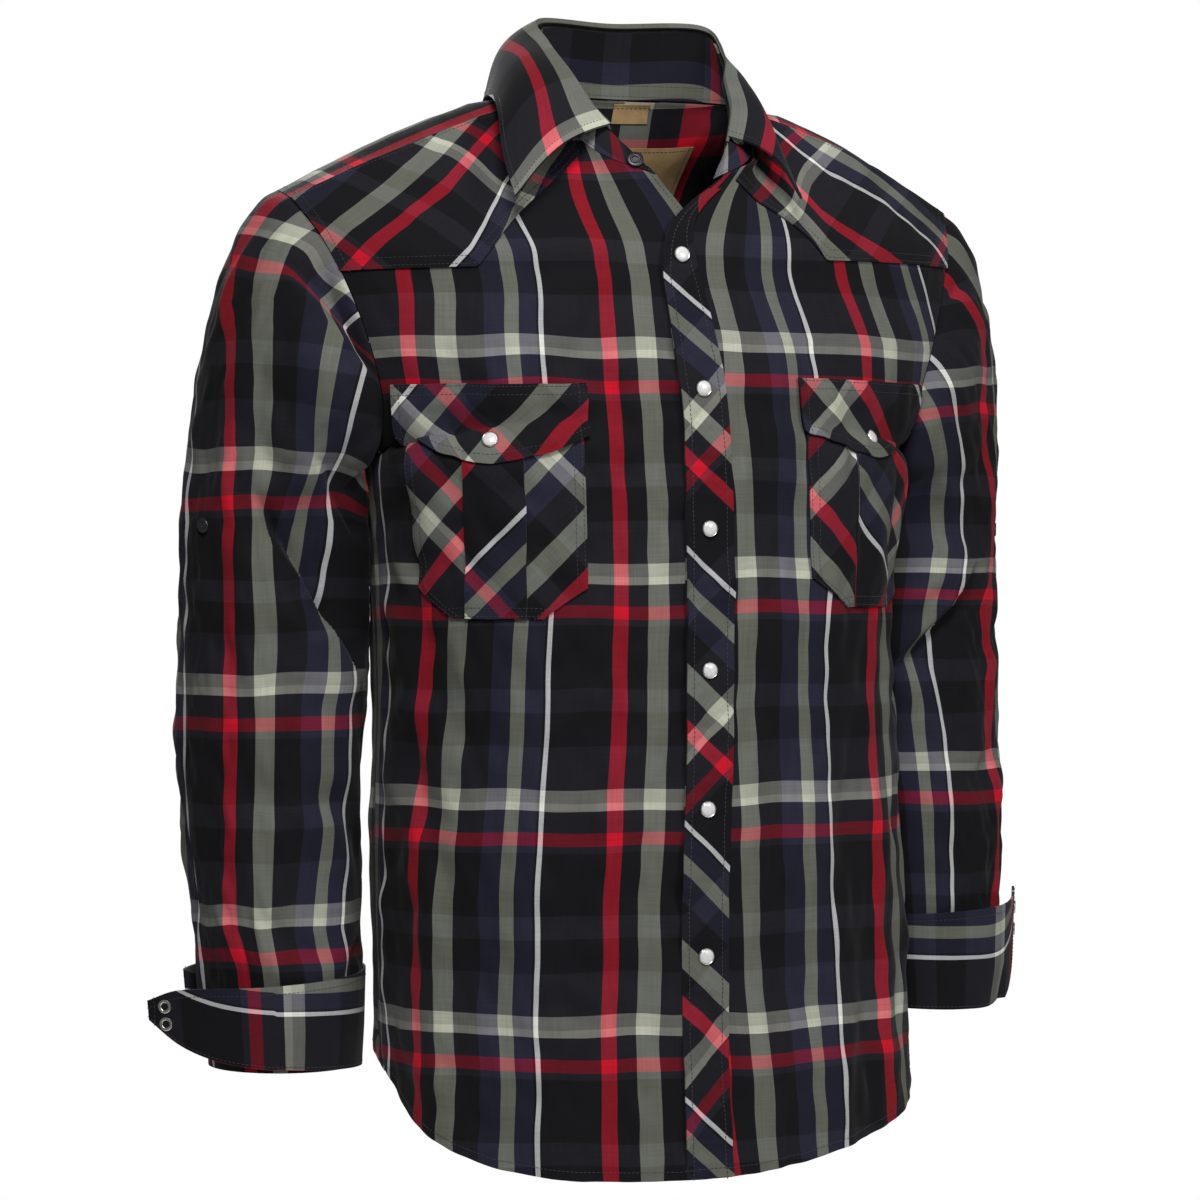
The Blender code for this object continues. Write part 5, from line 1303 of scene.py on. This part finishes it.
# ------------------------------------------------------------------------------------------------
# Collar: a fused stand sewn to the neckline, and a fused leaf with long points that folds over it.
COLLAR_ROLL = 0.005
STAND_TOP, STAND_MIDDLE = 0.015, 0.0941     # bolt's place at the top and at the centre back
LEAF_START = 0.062      # the leaf ends this share of the neck behind the stand's right end
LEAF_END = 0.0137       # bolt's place at the right front end
LEAF_WARP = (
    # cloth from the right end, bolt's place at the fold, warp taken up per cloth down the leaf
    (0.000, 0.0150, 0.62), (0.050, 0.0130, 0.84), (0.110, 0.0105, 1.12), (0.160, 0.0105, 1.00),
    (0.600, 0.0105, 1.00),
)
LEAF_REACH = (
    # cloth from the right end, place on the bolt from there; no weft stripe shows in the middle
    (0.0, 0.0), (0.030, 0.030), (0.210, 0.112), (0.420, 0.030), (0.60, 0.02),
)
STAND_ROWS, STAND_COLUMNS = 20, 161     # an odd number, so that one lies at the centre back
STAND_FOOT = 0.010      # share of its height that is left clear over the neck's seam
STAND_BOW = 0.0012
STAND_STRETCH, INSIDE_STRETCH = 0.88, 0.75      # cloth of the bolt to cloth that shows

u = np.linspace(1, 0, STAND_COLUMNS)
table = spline(NECK, u)
low, high = table[:, 0:3], table[:, 3:6] - (0, 0, COLLAR_ROLL)
t = np.linspace(STAND_FOOT, 1.0, STAND_ROWS)[:, None, None]
stand = low + (high - low) * t
stand = stand + normals(stand) * (STAND_BOW * np.sin(np.pi * t))
stand_facing = normals(stand)
around = run_across(stand[:1])
rise = run_along(stand)
across = STAND_TOP + STAND_STRETCH * (rise[-1:] - rise)
from_middle = around - around[:, STAND_COLUMNS // 2, None]
cut = joined(across, around)
lining = joined(across, STAND_MIDDLE + INSIDE_STRETCH * from_middle)
piece = cloth_piece("collar_stand", stand, stand_facing, DOUBLE, cut, lining=lining)
faces = {"out": (stand, stand_facing), "in": (stand - stand_facing * DOUBLE, -stand_facing)}
sewn("stand_stitches", sum((sewing_lines(*faces[way], edge) for way, edge in (
    ("out", ("bottom", 0.0022)), ("in", ("bottom", 0.0022)), ("in", ("bottom", 0.0100)),
    ("out", ("left", 0.0022)), ("in", ("right", 0.0022)), ("out", ("right", 0.0022)))), []))

# The leaf goes over a crest above the fold and falls in a soft bulge to its edge.
CREST, BULGE = (0.0016, 0.0018), (0.012, 0.006)     # each outwards and up
DOWN_INSIDE = ((0.0006, -0.0008), (-0.0002, 0.0025 - COLLAR_ROLL))
LEAF_ROWS = np.concatenate([np.linspace(1, 0.10, 24), np.linspace(0.08, 0, 6)])     # edge to fold
LEAF_MIDDLE = 18        # row along which the cloth's length is taken
fold, edge = spline(NECK, LEAF_START + u * (1 - LEAF_START))[:, 3:6], table[:, 6:9]
out = unit((edge - fold) * (1, 1, 0))
crest = fold + out * CREST[0] + (0, 0, CREST[1])
leaf = []
for t in LEAF_ROWS:
    bulge = (out * BULGE[0] + (0, 0, BULGE[1])) * np.sin(np.pi * t) * (1 - 0.5 * t)
    leaf.append(crest + (edge - crest) * t + bulge)
leaf += [fold + out * off + (0, 0, up) for off, up in DOWN_INSIDE]
leaf, fall = np.array(leaf), len(LEAF_ROWS)     # the rows after the fall go down inside
leaf_facing = normals(leaf)
around = run_across(leaf[LEAF_MIDDLE:][:1])
rise = run_along(leaf)
from_end = around[:, -1:] - around
reach = np.interp(from_end, *np.array(LEAF_REACH).T)
end, *laid = np.array(LEAF_WARP).T
at_fold, rate = [np.interp(from_end, end, column) for column in laid]
cut = joined(at_fold - rate * (rise[fall - 1] - rise), LEAF_END - reach)
piece = cloth_piece("collar_leaf", leaf, leaf_facing, DOUBLE, cut)
sewn("collar_stitches", sewing_lines(leaf[:fall], leaf_facing[:fall], ("bottom", 0.0050),
                                     ("left", 0.0050), ("right", 0.0050)))

# ------------------------------------------------------------------------------------------------
# Placket: a bias strip laid on the edge of the left front and stitched down both sides.
PLACKET = (
    # height, width
    (-0.80, 0.033), (-0.25, 0.033), (-0.18, 0.032), (-0.12, 0.027), (-0.09, 0.018), (-0.06, 0.010),
)
PLACKET_CUT = (0.024, 0.0025)
PLACKET_STRETCH = 0.0605        # the bias strip is pulled a little along its length
PLACKET_LOW, PLACKET_TOP = FRONT_HEM + 0.0006, -0.058
PLACKET_ROWS, PLACKET_COLUMNS = 300, 18
PUCKER, PUCKER_SIZE, PUCKER_EDGE = 0.0005, (0.011, 0.060), 0.003    # height, size, flat edge
heights = np.linspace(PLACKET_LOW, PLACKET_TOP, PLACKET_ROWS)
width = np.interp(heights, *np.array(PLACKET).T)
distance = width[:, None] * np.linspace(0.0, 1.0, PLACKET_COLUMNS)
heights = heights[:, None] + 0 * distance
pucker = PUCKER * wave_field(heights, distance, PUCKER_SIZE, 71).clip(0)
near_edge = np.minimum(distance, width[:, None] - distance)
pucker = pucker * fade(near_edge / PUCKER_EDGE)
placket, facing = fronts[1].at(distance, heights, LIFT + CLOTH + pucker)
cut = turned(distance, heights, 45.0, PLACKET_CUT)
cut[..., 0] += PLACKET_STRETCH * heights
piece = cloth_piece("placket", placket, facing, CLOTH, cut)
sewn("placket_stitches", sewing_lines(placket, facing, ("left", 0.0048), ("right", 0.0048),
                                      ("bottom", 0.0060)), width=0.0006)

# ------------------------------------------------------------------------------------------------
# Pockets: bias patch pockets with a box pleat and clipped lower corners, stitched round three
# sides.
POCKET_START, POCKET_WIDTH = LAP + 0.078, 0.120     # the right pocket lies 5 mm farther out
POCKET_TOP, POCKET_BOTTOM, POCKET_CLIP = -0.214, -0.343, 0.020
POCKET_MIDDLE = {1: POCKET_START + POCKET_WIDTH / 2, -1: POCKET_START + POCKET_WIDTH / 2 + 0.005}
RAISED = {1: 0.007, -1: 0.0}        # how much higher a side's pocket and flap are
PLEAT_WIDTH, PLEAT_RISE = 0.040, 0.0012
POCKET_CUT = {
    # side: turn of the warp in degrees, bolt's place at the middle of the top, jump at the pleat
    1: (-135.0, 0.014, 0.1235, 0.040),
    -1: (135.0, 0.127, 0.1160, 0.044),
}
BESIDE_PLEAT = 0.0003           # from the pleat's edge to the next line of the pocket
SIDE_COLUMNS, PLEAT_COLUMNS, CLIP_ROWS, UPPER_ROWS = 22, 24, 14, 50
POCKET_HEMS = [(edge, inset) for edge in ("left", "right", "bottom")
               for inset in (0.0016, 0.0070)]
for side, word in SIDES:
    half, outer = PLEAT_WIDTH / 2, POCKET_WIDTH / 2
    share = np.concatenate([np.linspace(-outer, -half - BESIDE_PLEAT, SIDE_COLUMNS),
                            np.linspace(-half, half, PLEAT_COLUMNS),
                            np.linspace(half + BESIDE_PLEAT, outer, SIDE_COLUMNS)])
    low, high = POCKET_BOTTOM + RAISED[side], POCKET_TOP + RAISED[side]
    z = np.concatenate([np.linspace(low, low + POCKET_CLIP, CLIP_ROWS),
                        np.linspace(low + POCKET_CLIP, high, UPPER_ROWS)[1:]])[:, None]
    pleat = np.abs(share) < half + BESIDE_PLEAT / 2
    clip = np.clip(low + POCKET_CLIP - z, 0, None) / (outer - half)
    reach = np.where(pleat, 1, 1 - clip * (np.abs(share) - half) / (outer - half))
    distance = POCKET_MIDDLE[side] + share * reach
    z = z + 0 * distance
    grid, facing = fronts[side].at(distance, z, LIFT + CLOTH + PLEAT_RISE * pleat + 0 * z)
    degrees, *start, jump = POCKET_CUT[side]
    across = side * (distance - POCKET_MIDDLE[side])
    across = across + np.where(pleat, 0, np.sign(across) * jump)
    cut = turned(across, z - POCKET_TOP, degrees, start)
    grid, facing, cut = from_left(side, grid, facing, cut)
    piece = cloth_piece("pocket_" + word, grid, facing, CLOTH, cut)
    sewn("pocket_stitches_" + word, sewing_lines(grid, facing, *POCKET_HEMS))

# ------------------------------------------------------------------------------------------------
# Pocket flaps: pointed bias flaps, stitched to the front along the top and snapped to the pocket.
FLAP_TOP, FLAP_SIDE, FLAP_POINT, FLAP_OVERHANG = -0.190, -0.226, -0.243, 0.004
FLAP_CUT = {
    # side: turn of the warp in degrees, bolt's place at the middle of the top
    1: (-135.0, 0.114, 0.1417),
    -1: (135.0, 0.038, 0.0574),
}
FLAP_CURVE = 1.4                # how round the flap's lower edge goes down to its point
FLAP_CLEARS = (0.004, 0.016)    # above its top, where it starts to clear the pocket, over which
FLAP_ROWS, FLAP_COLUMNS = 26, 56
flaps = {}
for side, word in SIDES:
    across = np.linspace(-1, 1, FLAP_COLUMNS)
    top = FLAP_TOP + RAISED[side]
    point = (FLAP_POINT - FLAP_SIDE) * (1 - np.abs(across) ** FLAP_CURVE)
    lower = FLAP_SIDE + RAISED[side] + point
    t = np.linspace(0, 1, FLAP_ROWS)[:, None]
    z = lower + (top - lower) * t
    distance = POCKET_MIDDLE[side] + across * (POCKET_WIDTH / 2 + FLAP_OVERHANG) + 0 * t
    clear = np.clip((top + FLAP_CLEARS[0] - z) / FLAP_CLEARS[1], 0, 1)
    lift = LIFT + CLOTH + clear * (CLOTH + PLEAT_RISE + LIFT)
    grid, facing = fronts[side].at(distance, z, lift)
    degrees, *start = FLAP_CUT[side]
    cut = turned(side * (distance - POCKET_MIDDLE[side]), z - FLAP_TOP, degrees, start)
    grid, facing, cut = from_left(side, grid, facing, cut)
    flaps[side] = grid
    piece = cloth_piece("flap_" + word, grid, facing, CLOTH, cut)
    sewn("flap_stitches_" + word, sewing_lines(
        grid, facing, ("top", 0.0016), ("top", 0.0070), ("bottom", 0.0060), ("left", 0.0060),
        ("right", 0.0060)))

# ------------------------------------------------------------------------------------------------
# Snaps: a pearl cap pressed into a nickel-plated rim, seen from outside. On the turned-back cuffs
# the prong rings of the inner side show, and at the stand an open socket of blackened brass.
NICKEL, tree, shader, scuffs = clouded(
    "nickel-plated brass", "ShaderNodeTexNoise", {"Scale": 900.0, "Detail": 3.0},
    "#B9B6B0", "#E2E0DC", {"Metallic": 1.0})
rough = add(tree, "ShaderNodeMapRange", {"Value": scuffs, "To Min": 0.16, "To Max": 0.40})
tree.links.new(rough.outputs[0], shader.inputs["Roughness"])

# The pearl is moulded polyester with mica, which gives cloudy streaks and a soft gloss.
PEARL, *_ = clouded(
    "moulded pearl polyester", "ShaderNodeTexNoise",
    {"Scale": 420.0, "Detail": 2.0, "Distortion": 1.6}, "#C9CCD4", "#FBF6F0",
    {"Roughness": 0.22, "IOR": 1.56, "Coat Weight": 0.6, "Coat Roughness": 0.08})

# Blackened brass is dark and half gloss, a little worn on its rim.
BLACKENED, *_ = clouded("blackened brass", "ShaderNodeTexNoise", {"Scale": 700.0, "Detail": 4.0},
                        "#1B1B1F", "#4A4A4E", {"Metallic": 0.9, "Roughness": 0.38})

CAP = (
    # radius mm, rise mm, finish of the band up to the next row
    (5.10, 0.00, NICKEL), (5.52, 0.30, NICKEL), (5.58, 0.80, NICKEL), (5.40, 1.30, NICKEL),
    (5.05, 1.55, NICKEL), (4.72, 1.45, NICKEL), (4.62, 1.25, PEARL), (4.45, 1.45, PEARL),
    (3.90, 1.85, PEARL), (3.00, 2.15, PEARL), (1.80, 2.33, PEARL), (0.00, 2.40, PEARL),
)
SOCKET = (
    # radius mm, rise mm, finish of the band up to the next row
    (5.10, 0.00, BLACKENED), (5.55, 0.35, BLACKENED), (5.45, 1.00, BLACKENED),
    (4.90, 1.30, BLACKENED), (3.60, 1.35, BLACKENED), (3.30, 1.90, BLACKENED),
    (2.80, 2.05, BLACKENED), (2.20, 1.90, BLACKENED), (2.00, 0.60, BLACKENED),
    (0.00, 0.55, BLACKENED),
)
PRONG_RING = (
    # radius mm, rise mm, finish of the band up to the next row
    (4.20, 0.00, NICKEL), (4.58, 0.25, NICKEL), (4.50, 0.70, NICKEL), (4.00, 0.98, NICKEL),
    (3.10, 0.95, NICKEL), (2.60, 0.70, NICKEL), (2.45, 0.30, BLACKENED), (0.00, 0.22, BLACKENED),
)


def seat(node):
    """Middle of the base of a snap or button, and the way it faces, from its CAD solid."""
    points = np.array([vertex.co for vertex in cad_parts[node].data.vertices])
    middle = points.mean(axis=0)
    axis = np.linalg.svd(points - middle, full_matrices=False)[2][-1]
    rise = (points - middle) @ axis
    reach = np.linalg.norm(points - middle - rise[:, None] * axis, axis=1)
    rim = reach > 0.5 * reach.max()
    if np.corrcoef(rise[rim], reach[rim])[0, 1] > 0:
        axis, rise = -axis, -rise
    return middle + axis * rise.min(), axis


def face_tree(grid, wrap=False):
    """Faces of a grid, to find where a line meets the cloth."""
    number = np.arange(grid[..., 0].size).reshape(grid.shape[:2])
    if wrap:
        number = np.concatenate([number, number[:, :1]], axis=1)
    return BVHTree.FromPolygons(grid.reshape(-1, 3).tolist(), corners_of(number).tolist())


SEEK, CLEAR = 0.020, 0.0001     # from where the cloth is looked for, and the gap left over it
TURNS = 48


def turned_part(node, profile, cloth):
    """Part turned round the axis of a snap or button, from its profile, seated on the cloth."""
    base, axis = seat(node)
    spot = cloth.ray_cast(Vector(base + axis * SEEK), Vector(-axis))[0]
    if spot is not None:
        base = np.array(spot) + axis * CLEAR
    side = unit(np.cross(axis, (0, 0, 1.0)))
    up = np.cross(axis, side)
    angle = np.linspace(0, 2 * np.pi, TURNS, endpoint=False)
    outward = side * np.cos(angle)[:, None] + up * np.sin(angle)[:, None]
    points = [base + axis * rise / 1000 + outward * reach / 1000 for reach, rise, _ in profile[:-1]]
    points = [base[None]] + points + [(base + axis * profile[-1][1] / 1000)[None]]
    finishes = list(dict.fromkeys(finish for _, _, finish in profile))
    tip, last = 1 + TURNS * (len(profile) - 1), (len(profile) - 2) * TURNS
    faces, bands = [], []
    for k in range(TURNS):
        a, b = 1 + k, 1 + (k + 1) % TURNS
        faces.append((0, b, a))
        bands.append(0)
        for ring, (_, _, finish) in enumerate(profile[:-2]):
            low = ring * TURNS
            faces.append((a + low, b + low, b + low + TURNS, a + low + TURNS))
            bands.append(finishes.index(finish))
        faces.append((a + last, b + last, tip))
        bands.append(finishes.index(profile[-2][2]))
    mesh = bpy.data.meshes.new(node + "_metal")
    mesh.from_pydata(np.concatenate(points).tolist(), [], faces)
    for finish in finishes:
        mesh.materials.append(finish)
    mesh.polygons.foreach_set("material_index", bands)
    mesh.shade_smooth()
    mesh.set_sharp_from_angle(angle=np.radians(50))
    placed(mesh.name, mesh, node)
    return base, axis


placket_face, stand_face = face_tree(placket), face_tree(stand)
for number in range(1, 7):
    turned_part("snap_%d" % number, CAP, placket_face)
turned_part("snap_stand_cap", CAP, stand_face)
turned_part("snap_stand", SOCKET, stand_face)
for side, word in SIDES:
    turned_part("snap_flap_" + word, CAP, face_tree(flaps[side]))
    cuff_face = face_tree(cuffs[side])
    for end in ("back_1", "back_2", "front_1", "front_2"):
        turned_part("cuff_snap_%s_%s" % (word, end), PRONG_RING, cuff_face)

# ------------------------------------------------------------------------------------------------
# Tab buttons: dark four-hole resin buttons on the upper sleeves, for the roll-up tabs inside.
# Cast polyester resin is dark and half gloss, with faint clouds in its colour.
RESIN, *_ = clouded(
    "cast polyester resin", "ShaderNodeTexNoise",
    {"Scale": 300.0, "Detail": 2.0, "Distortion": 1.0}, "#101014", "#2A2A30",
    {"Roughness": 0.30, "IOR": 1.54})
BUTTON = (
    # radius mm, rise mm, finish of the band up to the next row
    (4.50, 0.00, RESIN), (4.95, 0.50, RESIN), (4.98, 1.20, RESIN), (4.70, 1.85, RESIN),
    (4.20, 2.10, RESIN), (3.70, 2.05, RESIN), (3.20, 1.55, RESIN), (0.00, 1.50, RESIN),
)
BAR_HALF, BAR_APART, BAR_RISE = 0.0014, 0.0008, 0.00165     # bars of thread between the holes
for side, word in SIDES:
    base, axis = turned_part("tab_button_" + word, BUTTON, face_tree(sleeves[side], True))
    across = unit(np.cross(axis, (0, 0, 1.0)))
    up = np.cross(across, axis)
    bars = [(base + axis * BAR_RISE + up * step + across * np.array([[-BAR_HALF], [BAR_HALF]]),
             np.tile(axis, (2, 1))) for step in (-BAR_APART, BAR_APART)]
    sewn("button_thread_" + word, bars, 0.0030, 0.0029, 0.0006)

# ------------------------------------------------------------------------------------------------
# Labels: a broad bare patch and a small bare tab of tan kraft leather paper, sewn inside the back
# yoke under the collar seam. The paper is matt and has a fine pebbled grain.
KRAFT, tree, shader, _ = clouded(
    "kraft leather paper", "ShaderNodeTexNoise", {"Scale": 140.0, "Detail": 5.0, "Roughness": 0.65},
    "#8E7248", "#C9A878", {"Roughness": 0.75})
place = add(tree, "ShaderNodeTexCoord").outputs["Object"]
grain = add(tree, "ShaderNodeTexNoise", {"Vector": place, "Scale": 1500.0, "Detail": 2.0})
pebble = add(tree, "ShaderNodeBump", {"Strength": 0.3, "Distance": 0.0002,
                                      "Height": grain.outputs["Fac"]})
tree.links.new(pebble.outputs[0], shader.inputs["Normal"])

PAPER, BEHIND = 0.0006, 0.0004      # its thickness, and the gap between it and the yoke
LABEL_ROWS, LABEL_COLUMNS = 24, 30
LABELS = {
    # node: left and right, bottom and top, edges that are sewn
    "label_size": (0.015, 0.0395, 0.0065, 0.0195, ("top",)),
    "label_neck": (0.016, 0.070, -0.060, -0.010, ("top", "left", "right", "bottom")),
}
yoke_inside = face_tree(yoke - yoke_facing * CLOTH)
for node, (x_low, x_high, z_low, z_high, edges) in LABELS.items():
    hits = [[yoke_inside.ray_cast(Vector((x, 0, z)), Vector((0, 1, 0)))[:2]
             for x in np.linspace(x_low, x_high, LABEL_COLUMNS)]
            for z in np.linspace(z_low, z_high, LABEL_ROWS)]
    grid, facing = np.moveaxis(np.array(hits), 2, 0)
    facing *= -np.sign(facing[..., 1:2])
    grid = grid + facing * (BEHIND + PAPER)
    piece = cloth_piece(node, grid, facing, PAPER, grid[..., ::2], paper=KRAFT)
    sewn(node + "_stitches", sewing_lines(grid, facing, *((edge, 0.003) for edge in edges)))

size = {"frame": [list(map(float, corner)) for corner in frame_box],
        "visual": [list(map(float, corner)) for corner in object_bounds()]}
